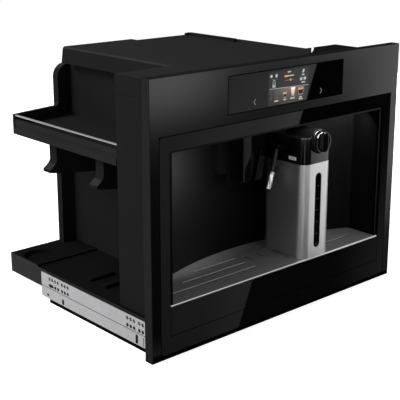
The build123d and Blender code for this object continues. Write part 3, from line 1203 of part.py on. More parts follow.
BOILER_X = (95.0, 160.0)
BOILER_HIGH = 140.0
FIN_COUNT = 10
FIN_PITCH = 12.0
FIN_GAP = 5.0
FIN_DEEP = 8.0
with BuildPart() as boiler:
    with BuildSketch(level(BASE_TOP)):
        span(*BOILER_X, y(BREW_DEPTHS[0]), y(BREW_DEPTHS[1]), radius=6.0)
    extrude(amount=BOILER_HIGH)
    with BuildSketch(side_at(BOILER_X[1])):
        with Locations((y(BREW_MIDDLE), BASE_TOP + BOILER_HIGH / 2)):
            with GridLocations(0, FIN_PITCH, 1, FIN_COUNT):
                Rectangle(BREW_DEPTHS[1] - BREW_DEPTHS[0] + 10.0, FIN_GAP)
    extrude(amount=-FIN_DEEP, mode=Mode.SUBTRACT)
finish(boiler, "boiler")

PUMP_X = 120.0
PUMP_DEPTHS = (300.0, 380.0)
PUMP_R = 22.0
PUMP_AXIS = BASE_TOP + 28.0
PUMP_NECK_R = 9.0
PUMP_NECK = 26.0
with BuildPart() as pump:
    with BuildSketch(face_at(PUMP_DEPTHS[1])):
        with Locations((PUMP_X, PUMP_AXIS)):
            Circle(PUMP_R)
        span(PUMP_X - 20.0, PUMP_X + 20.0, BASE_TOP, PUMP_AXIS - 8.0)
    extrude(amount=PUMP_DEPTHS[1] - PUMP_DEPTHS[0])
    with BuildSketch(face_at(PUMP_DEPTHS[0])):
        with Locations((PUMP_X, PUMP_AXIS)):
            Circle(PUMP_NECK_R)
    extrude(amount=PUMP_NECK)
finish(pump, "pump")

BOARD_T = 1.6
BOARD_STAND = 6.4         # it stands off the wall by this much
BOARD_W = 160.0
BOARD_H = 100.0
BOARD_MIDDLE = (GRINDER_DEPTH + 10.0, DECK_Z + 62.0)      # depth and Z
BOARD_X = BODY_INNER_RIGHT - BOARD_STAND - BOARD_T
with BuildPart() as control_board:
    with BuildSketch(side_at(BOARD_X)):
        with Locations((y(BOARD_MIDDLE[0]), BOARD_MIDDLE[1])):
            Rectangle(BOARD_W, BOARD_H)
    extrude(amount=BOARD_T)
    with BuildSketch(side_at(BOARD_X + BOARD_T)):
        with Locations((y(BOARD_MIDDLE[0]), BOARD_MIDDLE[1])):
            with GridLocations(BOARD_W - 20.0, BOARD_H - 20.0, 2, 2):
                Circle(3.0)
    extrude(amount=BOARD_STAND)
    with BuildSketch(side_at(BOARD_X)):
        with Locations((y(BOARD_MIDDLE[0] - 45.0), BOARD_MIDDLE[1] - 17.0)):
            Rectangle(30.0, 30.0)
        with Locations((y(BOARD_MIDDLE[0] + 25.0), BOARD_MIDDLE[1] + 21.0)):
            Rectangle(70.0, 26.0)
    extrude(amount=-2 * FIN_DEEP)
finish(control_board, "control_board")
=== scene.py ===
from math import cos, hypot, pi, radians, sin

import bmesh
import bpy
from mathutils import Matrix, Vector


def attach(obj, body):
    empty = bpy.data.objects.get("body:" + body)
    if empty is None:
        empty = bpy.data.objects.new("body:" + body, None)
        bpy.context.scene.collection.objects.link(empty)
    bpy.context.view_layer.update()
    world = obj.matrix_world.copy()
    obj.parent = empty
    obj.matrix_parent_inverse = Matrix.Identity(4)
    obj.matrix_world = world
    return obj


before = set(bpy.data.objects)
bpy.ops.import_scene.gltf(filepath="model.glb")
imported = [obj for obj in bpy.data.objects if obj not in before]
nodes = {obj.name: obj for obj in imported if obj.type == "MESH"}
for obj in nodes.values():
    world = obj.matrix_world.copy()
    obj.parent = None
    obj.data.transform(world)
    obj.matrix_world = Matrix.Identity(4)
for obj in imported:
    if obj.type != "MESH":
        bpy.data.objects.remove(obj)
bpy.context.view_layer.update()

# ---------------------------------------------------------------- camera
# A camera to the left of the machine and above it, with a short telephoto lens.  Its small
# shift keeps upright edges a little nearer to upright.
CAMERA_AT = (-1.16544, -1.31153, 0.69099)
CAMERA_TURN = 41.83345         # degrees to the right of straight into the cabinet
CAMERA_DOWN = 14.94808         # degrees below level
SENSOR = 36.0
LENS = 86.474
SHIFT_UP = -0.08


def placed(name, data):
    """Put a mesh, a lamp or a camera into the scene."""
    thing = bpy.data.objects.new(name, data)
    bpy.context.scene.collection.objects.link(thing)
    return thing


camera_data = bpy.data.cameras.new("camera")
camera_data.sensor_width = SENSOR
camera_data.lens = LENS
camera_data.shift_y = SHIFT_UP
camera = placed("camera", camera_data)
camera.location = CAMERA_AT
camera.rotation_euler = (radians(90.0 - CAMERA_DOWN), 0.0, -radians(CAMERA_TURN))
bpy.context.scene.camera = camera
bpy.context.scene.view_settings.view_transform = "Standard"


# ---------------------------------------------------------------- floor and white room
# A pale studio floor in a white room.  Floor and room are white to the camera, and to
# polished surfaces, and the floor keeps the machine's shadow.
class Wire:
    """An output of a shader node.  Arithmetic on it adds Math nodes."""

    def __init__(self, finish, socket):
        self.finish = finish
        self.socket = socket

    def maths(self, operation, first, second=0.0):
        return self.finish.node("ShaderNodeMath", {"operation": operation}, {0: first, 1: second})

    def __add__(self, other):
        return self.maths("ADD", self, other)

    __radd__ = __add__

    def __sub__(self, other):
        return self.maths("SUBTRACT", self, other)

    def __rsub__(self, other):
        return self.maths("SUBTRACT", other, self)

    def __mul__(self, other):
        return self.maths("MULTIPLY", self, other)

    __rmul__ = __mul__

    def __truediv__(self, other):
        return self.maths("DIVIDE", self, other)

    def __rtruediv__(self, other):
        return self.maths("DIVIDE", other, self)

    def __abs__(self):
        return self.maths("ABSOLUTE", self)

    def at_least(self, other):
        return self.maths("MAXIMUM", self, other)

    def above(self, other):
        return self.maths("GREATER_THAN", self, other)

    def between(self, low, high):
        """0 to 1 laid over two limits."""
        return self * (high - low) + low

    def greys(self, low, high, blue=0.0):
        """0 to 1 laid over two greys."""
        return self.finish.blend(self, grey(low, blue), grey(high, blue))


class Finish:
    """A surface finish: a material whose nodes are written as expressions."""

    def __init__(self, name, tree=None, **fixed):
        if tree is None:
            self.material = bpy.data.materials.new(name)
            self.material.use_nodes = True
            tree = self.material.node_tree
        self.tree = tree
        self.shader = tree.nodes.get("Principled BSDF")
        self.give(**fixed)

    def node(self, kind, settings=None, values=None, output=0):
        """Add a node: its settings first, then its sockets.  Gives one output, or all for None."""
        node = self.tree.nodes.new(kind)
        for key, value in (settings or {}).items():
            if key == "stops":
                self.stops(node.color_ramp, value)
            elif key == "interpolation":
                node.color_ramp.interpolation = value
            else:
                setattr(node, key, value)
        for key, value in (values or {}).items():
            self.set(node.inputs[key], value)
        if output is None:
            return [Wire(self, socket) for socket in node.outputs]
        return Wire(self, node.outputs[output])

    def stops(self, ramp, stops):
        """Lay greys along a ramp that starts with two."""
        while len(ramp.elements) < len(stops):
            ramp.elements.new(0.5)
        for element, (place, level) in zip(ramp.elements, stops):
            element.position = place
            element.color = grey(level)

    def set(self, socket, value):
        if isinstance(value, Wire):
            self.tree.links.new(value.socket, socket)
        else:
            socket.default_value = value

    def give(self, **values):
        """Set or feed sockets of the surface shader."""
        for socket, value in values.items():
            self.set(self.shader.inputs[socket.replace("_", " ")], value)

    def show(self, surface):
        """Use another shader in place of the surface shader."""
        self.set(self.tree.nodes["Material Output"].inputs["Surface"], surface)

    def ray(self, kind):
        """1 for rays of one kind, such as Camera or Glossy."""
        return self.node("ShaderNodeLightPath", output=f"Is {kind} Ray")

    def place(self, stretch=(1.0, 1.0, 1.0)):
        """Object coordinates in metres, stretched along the axes."""
        spot = self.node("ShaderNodeTexCoord", output="Object")
        return self.node("ShaderNodeMapping", {}, {"Vector": spot, "Scale": stretch})

    def spot(self):
        """A point's place across, in depth and up, in metres."""
        return self.node("ShaderNodeSeparateXYZ", {}, {"Vector": self.place()}, output=None)

    def facing(self):
        """How far a surface faces right, back and up."""
        normal = self.node("ShaderNodeTexCoord", output="Normal")
        return self.node("ShaderNodeSeparateXYZ", {}, {"Vector": normal}, output=None)

    def noise(self, scale, detail=3.0, stretch=(1.0, 1.0, 1.0)):
        """Clouds from 0 to 1, so many to the metre."""
        values = {"Vector": self.place(stretch), "Scale": scale, "Detail": detail}
        return self.node("ShaderNodeTexNoise", {}, values)

    def blend(self, factor, first, second):
        """A mix of two colours."""
        return self.node("ShaderNodeMix", {"data_type": "RGBA"}, {0: factor, 6: first, 7: second}, output=2)

    def bump(self, height, depth, strength, edge=0.0):
        """A bump of a given depth in metres, over edges that are eased by a radius."""
        values = {"Height": height, "Distance": depth, "Strength": strength}
        if edge:
            values["Normal"] = self.node("ShaderNodeBevel", {"samples": 6}, {"Radius": edge})
        return self.node("ShaderNodeBump", {}, values)


def grey(level, blue=0.0):
    """A grey, with a little more blue where that is given."""
    return (level, level, level * (1.0 + blue), 1.0)


def shown_white(finish):
    """1 for rays of the camera and of mirror-like and clear surfaces."""
    return finish.ray("Camera").at_least(finish.ray("Glossy")).at_least(finish.ray("Transmission"))


def flat_sheet(name, corners, finish):
    """A one-sided sheet through its corners."""
    mesh = bpy.data.meshes.new(name)
    mesh.from_pydata(corners, [], [tuple(range(len(corners)))])
    mesh.materials.append(finish.material)
    return placed(name, mesh)


ROOM_LIGHT = 0.3               # what the room adds to the lamps
world = bpy.data.worlds.new("white_room")
world.use_nodes = True
bpy.context.scene.world = world
room = Finish("white_room", world.node_tree)
backdrop = world.node_tree.nodes["Background"]
room.set(backdrop.inputs["Color"], grey(1.0))
room.set(backdrop.inputs["Strength"], shown_white(room).between(ROOM_LIGHT, 1.0))

FLOOR_HALF = 6.0
FLOOR_LEVEL = -0.0005          # just under the machine's foot strip
FLOOR_COLOUR = 0.62
FLOOR_GLOW = 0.80              # the floor's own white, for the camera and for reflections
floor_finish = Finish("studio_floor", Base_Color=grey(FLOOR_COLOUR), Roughness=0.9,
                      Specular_IOR_Level=0.0, Emission_Strength=FLOOR_GLOW)
floor_finish.give(Emission_Color=shown_white(floor_finish).greys(0.0, 1.0))
floor_sides = ((-1, -1), (1, -1), (1, 1), (-1, 1))
floor_corners = [(x * FLOOR_HALF, y * FLOOR_HALF, FLOOR_LEVEL) for x, y in floor_sides]
floor = flat_sheet("floor", floor_corners, floor_finish)


# ---------------------------------------------------------------- lamps
# Five soft boxes on stands round the machine.  They light it most from the left and the
# front, and enough from behind for its back to be seen.
def soft_box(name, place, aim, size, power, beam=180.0):
    """A lamp: its place, aim, width and height in metres, watts, and beam in degrees."""
    lamp = bpy.data.lights.new(name, "AREA")
    lamp.shape = "RECTANGLE"
    lamp.size, lamp.size_y = size
    lamp.energy = power
    lamp.spread = radians(beam)
    holder = placed(name, lamp)
    holder.location = place
    holder.rotation_euler = (Vector(aim) - Vector(place)).to_track_quat("-Z", "Y").to_euler()
    return holder


soft_box("soft_box_left", (-2.4, 0.3, 1.5), aim=(-0.1, 0.0, 0.2), size=(1.6, 1.6), power=56.0)
soft_box("soft_box_above", (-1.5, 0.9, 1.7), aim=(-0.2, 0.0, 0.4), size=(1.2, 1.0), power=26.0)
soft_box("soft_box_front", (1.9, -2.1, 0.75), aim=(0.05, -0.2, 0.2), size=(1.0, 1.2), power=16.0)
soft_box("soft_box_right", (2.4, 0.9, 0.55), aim=(0.2, 0.0, 0.22), size=(1.4, 0.9), power=60.0)
soft_box("soft_box_back", (-0.5, 2.6, 0.55), aim=(0.0, 0.2, 0.22), size=(1.4, 0.9), power=60.0)


# ---------------------------------------------------------------- shaded card
# A card on the floor before the machine that glows, seen only in its reflections.  The satin
# paint picks up four soft glows from it, and the gloss and the glass one slanting edge.  It is
# laid out as the front mirrors it to the camera.
def box_of(name):
    """The low and the high corner of a CAD piece, in millimetres."""
    places = [vertex.co * 1000 for vertex in nodes[name].data.vertices]
    return [Vector([end(place[axis] for place in places) for axis in range(3)]) for end in (min, max)]


def eased(value, *stops):
    """A smooth curve through (value, level) stops."""
    low, high = stops[0][0], stops[-1][0]
    places = [((stop - low) / (high - low), level) for stop, level in stops]
    settings = {"interpolation": "EASE", "stops": places}
    return value.finish.node("ShaderNodeValToRGB", settings, {"Fac": (value - low) / (high - low)})


def only_reflected(sheet, x, y, z):
    """Lay a sheet on the floor where only reflections show it."""
    sheet.location = (x, y, z)
    sheet.visible_camera = False
    sheet.visible_diffuse = False
    sheet.visible_shadow = False
    sheet.visible_transmission = False
    sheet.visible_volume_scatter = False


FRONT_Y = box_of("front_panel")[0].y / 1000
CARD_FOOT = (CAMERA_AT[0], 2 * FRONT_Y - CAMERA_AT[1])     # under the camera's mirror image
CARD_RUN = CARD_FOOT[1] - FRONT_Y       # from there to the front
CARD_NEAR, CARD_FAR = -1.085, -3.4      # its sides, counted from its foot
CARD_LEFT = 0.75
CARD_RIGHT_NEAR, CARD_RIGHT_FAR = 2.0, 5.6
CARD_LEVEL = 0.001
LEFT_GLOW, RIGHT_GLOW, NICHE_GLOW = 6.0, 3.0, 2.4
EDGE_AT = 0.1133               # the slanting edge's place at floor level, left of the middle
EDGE_LEAN = 0.415              # and its slope

card_finish = Finish("shaded_card")
card_x, card_y, _ = card_finish.spot()
card_part = CARD_RUN / (0.0 - card_y)
across = card_x * card_part + CARD_FOOT[0]     # where on the front the camera sees this spot:
height = CAMERA_AT[2] - card_part * CAMERA_AT[2]     # how far right of the middle, and how high

left_glow = eased(across, (-0.31, 0.8), (-0.25, 1.0), (-0.20, 0.6), (-0.12, 0.0)) * \
    eased(height, (0.375, 0.0), (0.41, 0.4), (0.45, 1.0))
right_glow = eased(across, (0.0, 0.0), (0.12, 0.08), (0.21, 0.36), (0.30, 1.0)) * \
    eased(height, (0.0, 0.06), (0.08, 0.1), (0.16, 0.5), (0.24, 1.0))
niche_glow = eased(across, (0.0, 0.0), (0.05, 0.3), (0.10, 1.0), (0.16, 1.0), (0.20, 0.0)) * \
    eased(height, (0.07, 0.0), (0.11, 1.0), (0.29, 1.0), (0.33, 0.0))
middle_glow = eased(height, (0.0, 0.02), (0.34, 0.06), (0.38, 0.2), (0.46, 0.25))
for_paint = left_glow * LEFT_GLOW + right_glow * RIGHT_GLOW + middle_glow + niche_glow * NICHE_GLOW

beside_edge = across - height * EDGE_LEAN + EDGE_AT
lit_side = eased(beside_edge, (-0.30, 0.45), (-0.12, 0.65), (-0.002, 1.0), (0.002, 0.0)) * \
    eased(height, (0.0, 0.5), (0.1, 0.62), (0.36, 1.25))
dark_side = eased(across, (0.12, 0.05), (0.30, 0.30)) * eased(height, (0.0, 1.0), (0.36, 0.1))
for_glass = lit_side + dark_side * beside_edge.above(0.0)

card_light = card_finish.blend(card_finish.ray("Singular"), for_paint, for_glass)
card_finish.show(card_finish.node("ShaderNodeEmission", {}, {"Color": card_light}))
card = flat_sheet("shaded_card", [(CARD_LEFT, CARD_NEAR, 0.0), (CARD_LEFT, CARD_FAR, 0.0),
                                  (CARD_RIGHT_FAR, CARD_FAR, 0.0), (CARD_RIGHT_NEAR, CARD_NEAR, 0.0)],
                  card_finish)
only_reflected(card, *CARD_FOOT, CARD_LEVEL)

# ---------------------------------------------------------------- dark flag
# A dark fan on the floor, spread from the foot of the milk jug's left side, that glows faintly and along
# one bright line, seen only in reflections.  It keeps the white floor out of what the brushed jug mirrors,
# but for that light line, and the gloss and the glass don't show it.
FLAG_FOOT = (0.045, FRONT_Y)
FLAG_FROM, FLAG_TO = -0.08, 1.52        # the fan's sides, in radians left of straight ahead
FLAG_NEAR, FLAG_FAR = 0.12, 1.3
FLAG_LEVEL = 0.002
FLAG_RIBS = 12
LINE_START = 0.33                       # the light line begins this far out
LINE_LIGHT = 3.0

flag_finish = Finish("dark_flag")
flag_x, flag_y, _ = flag_finish.spot()
flag_angle = flag_x.maths("ARCTAN2", 0.0 - flag_x, 0.0 - flag_y)
past_start = (flag_x * flag_x + flag_y * flag_y).above(LINE_START ** 2)
flag_line = eased(flag_angle, (0.58, 0.0), (0.70, 1.0), (0.82, 0.0)) * past_start * LINE_LIGHT
flag_light = eased(flag_angle, (FLAG_FROM, 0.06), (0.25, 0.03), (1.30, 0.03), (FLAG_TO, 0.3)) + flag_line
flag_finish.show(flag_finish.node("ShaderNodeMixShader", {}, {
    0: flag_finish.ray("Singular"),
    1: flag_finish.node("ShaderNodeEmission", {}, {"Color": flag_light}),
    2: flag_finish.node("ShaderNodeBsdfTransparent")}))
flag_ribs = [FLAG_FROM + (FLAG_TO - FLAG_FROM) * k / FLAG_RIBS for k in range(FLAG_RIBS + 1)]
flag_hem = [(rib, FLAG_NEAR) for rib in flag_ribs] + [(rib, FLAG_FAR) for rib in reversed(flag_ribs)]
flag_corners = [(-sin(rib) * out, -cos(rib) * out, 0.0) for rib, out in flag_hem]
flag = flat_sheet("dark_flag", flag_corners, flag_finish)
only_reflected(flag, *FLAG_FOOT, FLAG_LEVEL)


# ---------------------------------------------------------------- telescopic rails
# The runners are rolled from galvanised strip with a faint spangle, perforated for the cabinet's
# screws, on a black plastic foot strip.  The members that slide inside them are painted near black, as
# painted shade behind the holes.
def coat(finish, *names):
    """Give a finish to CAD pieces."""
    for name in names:
        nodes[name].data.materials.clear()
        nodes[name].data.materials.append(finish.material)


def metal(name, greys, roughness, scale, stretch=(1.0, 1.0, 1.0), blue=0.0, metallic=1.0):
    """Bare or plated metal, its grey and its roughness wandering between two limits."""
    finish = Finish(name, Metallic=metallic)
    cloud = finish.noise(scale, stretch=stretch)
    finish.give(Base_Color=cloud.greys(*greys, blue), Roughness=cloud.between(*roughness))
    return finish


TINT = 0.03                    # grained plastic and paint are this much bluer than grey


def uneven(finish, low, high):
    """The cloudy colour of grained plastic or paint."""
    return finish.noise(9.0).greys(low, high, TINT)


GRAIN_DEPTH = 0.00006
GRAIN_EDGE = 0.0008            # radius that eases the edges of grained pieces
GLOSS_SPREAD = 0.04            # how far their roughness wanders either way


def grained(name, low, high, roughness):
    """Plastic or paint with a fine grain, eased edges and a slightly uneven gloss."""
    finish = Finish(name, Specular_IOR_Level=0.0)
    finish.colour = uneven(finish, low, high)
    finish.give(Base_Color=finish.colour,
                Roughness=finish.noise(9.0).between(roughness - GLOSS_SPREAD, roughness + GLOSS_SPREAD),
                Normal=finish.bump(finish.noise(1400.0, 2.0), GRAIN_DEPTH, 0.5, edge=GRAIN_EDGE))
    return finish


def block(mesh, low, high):
    """A box from one corner to the other, in millimetres."""
    made = bmesh.ops.create_cube(mesh, size=1.0)
    size = [(b - a) / 1000 for a, b in zip(low, high)]
    middle = [(a + b) / 2000 for a, b in zip(low, high)]
    bmesh.ops.scale(mesh, vec=size, verts=made["verts"])
    bmesh.ops.translate(mesh, vec=middle, verts=made["verts"])


def piece_of(name, mesh, finish, body):
    """Put a mesh into the scene as a piece that rides on a body."""
    mesh.materials.append(finish.material)
    piece = placed(name, mesh)
    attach(piece, body)
    return piece


RAIL_FACE = box_of("rail_fixed_right")[1].x     # the plates' outer faces, from the middle
RAIL_PLATE = 1.6               # thickness of the plates
SEAM_UP = 27.5                 # a dark seam runs along them at this height
SEAM_HALF = 0.6
RAIL_TURN = 0.7                # faces turned this far to the side keep the zinc colour; other faces inside the plates are painted dark, as painted shade

zinc = Finish("galvanised_steel", Metallic=0.85)
zinc_x, _, zinc_up = zinc.spot()
on_plate = abs(zinc_x).above((RAIL_FACE - RAIL_PLATE) / 1000)
to_side = abs(zinc.facing()[0]).above(RAIL_TURN)
off_seam = abs(zinc_up - SEAM_UP / 1000).above(SEAM_HALF / 1000)
crystals = zinc.node("ShaderNodeTexVoronoi", {}, {"Vector": zinc.place(), "Scale": 160.0}, output="Color")
spangle = zinc.node("ShaderNodeRGBToBW", {}, {"Color": crystals})
zinc_light = (spangle * 0.5 + zinc.noise(30.0) * 0.5).greys(0.22, 0.30, 0.02)
# Faces inside the plates that don't face sideways are painted near black, as painted shade in the channels.
zinc.give(Base_Color=zinc.blend(on_plate.at_least(to_side) * off_seam, grey(0.012), zinc_light),
          Roughness=spangle.between(0.36, 0.44),
          Normal=zinc.bump(zinc.noise(900.0), 0.00004, 0.3, edge=0.0004))
coat(zinc, "rail_fixed_left", "rail_fixed_right")
# The sliding members are painted near black, as painted shade, so that the runners' holes look dark.
inner_rail_shade = metal("inner_rails_painted_shade", (0.004, 0.008), roughness=(0.4, 0.5), scale=40.0, metallic=0.7)
coat(inner_rail_shade, "rail_middle_left", "rail_middle_right", "rail_inner_left", "rail_inner_right")

STRIP_LOW, STRIP_HIGH = box_of("rail_feet")
LIP_IN = 0.5                   # the strip's lips start this far inside it
LIP_SHORT = 0.2                # end this far before its ends
LIP_CLEAR = 0.1                # keep this far from the floor and behind the plates' outer faces
LIP_UNDER = 0.3                # and stay this far under the plates
foot_strip = grained("foot_strip_black", 0.0017, 0.0023, roughness=0.6)
coat(foot_strip, "rail_feet")
lips = bmesh.new()
for side in (-1, 1):
    left, right = sorted((side * (STRIP_HIGH.x - LIP_IN), side * (RAIL_FACE - LIP_CLEAR)))
    block(lips, (left, STRIP_LOW.y + LIP_SHORT, LIP_CLEAR),
          (right, STRIP_HIGH.y - LIP_SHORT, STRIP_HIGH.z - LIP_UNDER))
lip_mesh = bpy.data.meshes.new("foot_strip_lips")
lips.to_mesh(lip_mesh)
lips.free()
piece_of("foot_strip_lips", lip_mesh, foot_strip, "cabinet_rails")

# ---------------------------------------------------------------- bulkhead and inner deck
# Two folded sheets of zinc-plated steel, screwed in behind the front and over the base.  They
# stay unpainted, as only a raised cover shows them.
sheet_zinc = metal("zinc_sheet", (0.26, 0.34), roughness=(0.36, 0.46), scale=50.0, blue=0.02, metallic=0.85)
coat(sheet_zinc, "bulkhead", "inner_deck")

# ---------------------------------------------------------------- base tray
# One deep moulding in grained black that carries the machine.  Its tops and recesses are painted
# darker than the housings, as painted shade, and its outer sides paler, as painted light.
BASE_SIDE = box_of("base_tray")[1].x - 0.3      # just inside the outer sides
base_painted_shade_and_light = grained("base_painted_shade_and_light", 0.0045, 0.0065, roughness=0.45)
outer_sides_painted_light = abs(base_painted_shade_and_light.spot()[0]).above(BASE_SIDE / 1000)
# The outer sides are painted paler, as painted light; the rest stays darker, as painted shade.
base_painted_shade_and_light.give(Base_Color=base_painted_shade_and_light.blend(outer_sides_painted_light, base_painted_shade_and_light.colour, grey(0.022, TINT)))
coat(base_painted_shade_and_light, "base_tray")

# ---------------------------------------------------------------- housings, walls and covers
# Injection mouldings and painted sheet in one grained black, screwed together with thin joints
# between them.  Their upper faces are painted a little paler, as painted light from above.
TOP_TURN = 0.7                 # a face that is turned up this far counts as an upper one


def on_top(finish):
    """1 where a surface faces up."""
    return finish.facing()[2].above(TOP_TURN)


grained_black = grained("grained_black", 0.008, 0.011, roughness=0.5)
paler = uneven(grained_black, 0.019, 0.024)
# Upward faces get a paler grey: painted light from above.
grained_black.give(Base_Color=grained_black.blend(on_top(grained_black), grained_black.colour, paler))
coat(grained_black, "left_housing", "left_housing_upper", "right_housing", "right_housing_upper",
     "body_left_wall", "body_right_wall", "rear_wall", "hinge_strip", "top_cover", "shelf_hangers",
     "power_inlet")
# The right top cover is a darker copy of the grained black, without the paler tops: painted shade where
# light falls off to the right.
right_cover_painted_shade = grained("right_cover_painted_shade", 0.0072, 0.0098, roughness=0.5)
coat(right_cover_painted_shade, "right_top_cover")

# ---------------------------------------------------------------- shelf, guard rod and hinge pin
# The shelf is one grained moulding.  A drawn wire along its edge keeps things from sliding off,
# and a chromed pin through the hinge strip carries the lid.
shelf_black = grained("shelf_black", 0.0119, 0.0161, roughness=0.5)
coat(shelf_black, "side_shelf")
wire_steel = metal("drawn_steel", (0.18, 0.28), roughness=(0.12, 0.22), scale=500.0,
                   stretch=(1.0, 0.02, 1.0))
coat(wire_steel, "guard_rod")
chrome = metal("chrome", (0.62, 0.70), roughness=(0.06, 0.12), scale=60.0, blue=0.02)
coat(chrome, "hinge_pin")

# ---------------------------------------------------------------- front panel
# A folded steel panel in satin black paint, wide enough to close a 600 mm column.  Its edges are
# eased by the paint.  The lacquer ends in a dark line round the display and the surround.
FRONT_TURN = 0.8               # a face that is turned to the room this far counts as the front


def on_front(finish):
    """1 where a surface faces the room."""
    return (0.0 - finish.facing()[1]).above(FRONT_TURN)


def outside(finish, low, high, gap):
    """1 further than a gap outside an upright rectangle, given by two corners in millimetres."""
    x, _, z = finish.spot()
    beside = abs(x - (low.x + high.x) / 2000) - (high.x - low.x) / 2000
    above = abs(z - (low.z + high.z) / 2000) - (high.z - low.z) / 2000
    return beside.at_least(above).above(gap / 1000)


DISPLAY_LINE = 1.6             # the dark line reaches this far round the display
SURROUND_LINE = 1.4            # and this far round the glossy surround
LACQUER_LOW = 7.4              # the fold under the surround has no lacquer
satin = Finish("satin_black_paint", Specular_IOR_Level=0.0, Coat_Roughness=0.16)
satin_cloud = satin.noise(6.0)
satin_front = on_front(satin)
satin_lacquer = satin_front * satin.spot()[2].above(LACQUER_LOW / 1000) * \
    outside(satin, *box_of("display_glass"), DISPLAY_LINE) * \
    outside(satin, *box_of("niche_surround"), SURROUND_LINE)
# The folded sides are painted paler than the front, as painted light on them.
satin.give(Base_Color=satin.blend(satin_front, satin_cloud.greys(0.011, 0.014, TINT), grey(0.0017, TINT)),
           Coat_Weight=satin_lacquer * satin_cloud.between(0.42, 0.48),
           Normal=satin.bump(satin.noise(1800.0, 2.0), 0.00002, 0.3, edge=0.0012))
coat(satin, "front_panel")

# ---------------------------------------------------------------- glossy surround and tray front
# High-gloss black mouldings that lie flush in the panel: one frames the niche, one is the drip
# tray's front.  The surround is polished up to a thin dark line round the niche.
COAT_SPREAD = 0.04


def high_gloss(name, polish):
    """Black under a clear coat, which lies on the front alone and is a little uneven."""
    finish = Finish(name, Roughness=0.5, Specular_IOR_Level=0.0, Coat_Roughness=0.0)
    cloud = finish.noise(5.0)
    finish.coat = on_front(finish) * cloud.between(polish, polish + COAT_SPREAD)
    finish.give(Base_Color=cloud.greys(0.0014, 0.0018), Coat_Weight=finish.coat)
    return finish


NICHE_LINE = 1.1               # the dark line reaches this far beside and under the niche
NICHE_LINE_TOP = 337.0         # and ends below the surround's upper bar
gloss = high_gloss("gloss_black", polish=0.42)
coat(gloss, "tray_front")
niche_low, niche_high = box_of("tray_front")
niche_high.z = NICHE_LINE_TOP
frame_gloss = high_gloss("gloss_black_frame", polish=0.42)
frame_gloss.give(Coat_Weight=frame_gloss.coat * outside(frame_gloss, niche_low, niche_high, NICHE_LINE))
coat(frame_gloss, "niche_surround")

# ---------------------------------------------------------------- display
# A sheet of black glass flush in the panel, lit from behind by a small colour screen and by two
# arrow keys, in a moulded case.  The screen's pictures are drawn just in front of the glass.
display_glass = high_gloss("display_glass", polish=0.5)
coat(display_glass, "display_glass")
display_case = grained("display_case", 0.017, 0.023, roughness=0.5)
coat(display_case, "display_module")


class Drawing:
    """Flat shapes in one finish, in millimetres across and up, in one layer on a face."""

    LAYER = 0.00004            # depth of a layer, in metres
    TURNS = 24                 # corners of a full oval

    def __init__(self, name, finish, layer, body="machine", face=FRONT_Y):
        self.name, self.finish, self.body = name, finish, body
        self.depth = face - self.LAYER * layer
        self.corners, self.faces = [], []

    def shape(self, *points):
        first = len(self.corners)
        self.corners += [(x / 1000, self.depth, z / 1000) for x, z in points]
        self.faces.append(tuple(range(first, first + len(points))))

    def bar(self, x, z, width, height):
        self.shape((x - width / 2, z - height / 2), (x + width / 2, z - height / 2),
                   (x + width / 2, z + height / 2), (x - width / 2, z + height / 2))

    def cup(self, x, low, foot, high, brim):
        """A shape that widens from its foot to its brim."""
        self.shape((x - brim / 2, high), (x - foot / 2, low), (x + foot / 2, low), (x + brim / 2, high))

    def oval(self, x, z, width, height, lean=0.0):
        angles = [2 * pi * k / self.TURNS for k in range(self.TURNS)]
        self.shape(*[(x + cos(angle) * width / 2 + lean * sin(angle) * height / 2,
                      z + sin(angle) * height / 2) for angle in angles])

    def ring(self, x, z, width, height, line, start=0.0, stop=1.0):
        """A thin oval line, or a part of one, counted in turns from the right."""
        for k in range(self.TURNS):
            a, b = (2 * pi * (start + (stop - start) * (k + end) / self.TURNS) for end in (0, 1))
            self.shape(*[(x + cos(angle) * (width / 2 - inset), z + sin(angle) * (height / 2 - inset))
                         for angle, inset in ((a, 0.0), (b, 0.0), (b, line), (a, line))])

    def stroke(self, line, *points):
        """A line of a given width through points."""
        for (x0, z0), (x1, z1) in zip(points, points[1:]):
            run = hypot(x1 - x0, z1 - z0)
            dx, dz = (z0 - z1) / run * line / 2, (x1 - x0) / run * line / 2
            self.shape((x0 + dx, z0 + dz), (x0 - dx, z0 - dz), (x1 - dx, z1 - dz), (x1 + dx, z1 + dz))

    def finished(self):
        mesh = bpy.data.meshes.new(self.name)
        mesh.from_pydata(self.corners, [], self.faces)
        return piece_of(self.name, mesh, self.finish, self.body)


def glowing(name):
    """Light from behind the glass."""
    return Finish(name, Base_Color=grey(0.002), Roughness=0.3, Specular_IOR_Level=0.0,
                  Emission_Strength=1.0)


def lit(name, low, high):
    """Light of one colour, a little uneven as pixels are."""
    finish = glowing(name)
    finish.give(Emission_Color=finish.blend(finish.noise(900.0, 1.0), (*low, 1.0), (*high, 1.0)))
    return finish


# the screen shows cups on a brown table that is lit from the middle
SCREEN_HALF = 48.0
SCREEN_LOW, SCREEN_HIGH = 382.0, 437.5
screen_light = Finish("screen_light", Roughness=0.5, Specular_IOR_Level=0.0, Coat_Roughness=0.0,
                      Base_Color=grey(0.0016), Emission_Strength=1.0)
screen_x, _, screen_up = screen_light.spot()
table_up = eased(screen_up + screen_x * 0.03, (0.382, 0.08), (0.393, 0.45), (0.4078, 1.0), (0.4083, 0.0))
table_across = eased(screen_x, (-0.050, 0.1), (0.004, 1.0), (0.050, 0.0))
table_brown = screen_light.blend(table_up * table_across, grey(0.018), (0.185, 0.15, 0.12, 1.0))
screen_light.give(Emission_Color=table_brown, Coat_Weight=screen_light.noise(5.0).between(0.5, 0.54))
screen = Drawing("screen", screen_light, 1)
screen.shape((-SCREEN_HALF, SCREEN_LOW), (SCREEN_HALF, SCREEN_LOW), (SCREEN_HALF, SCREEN_HIGH),
             (-SCREEN_HALF, SCREEN_HIGH))
screen.finished()

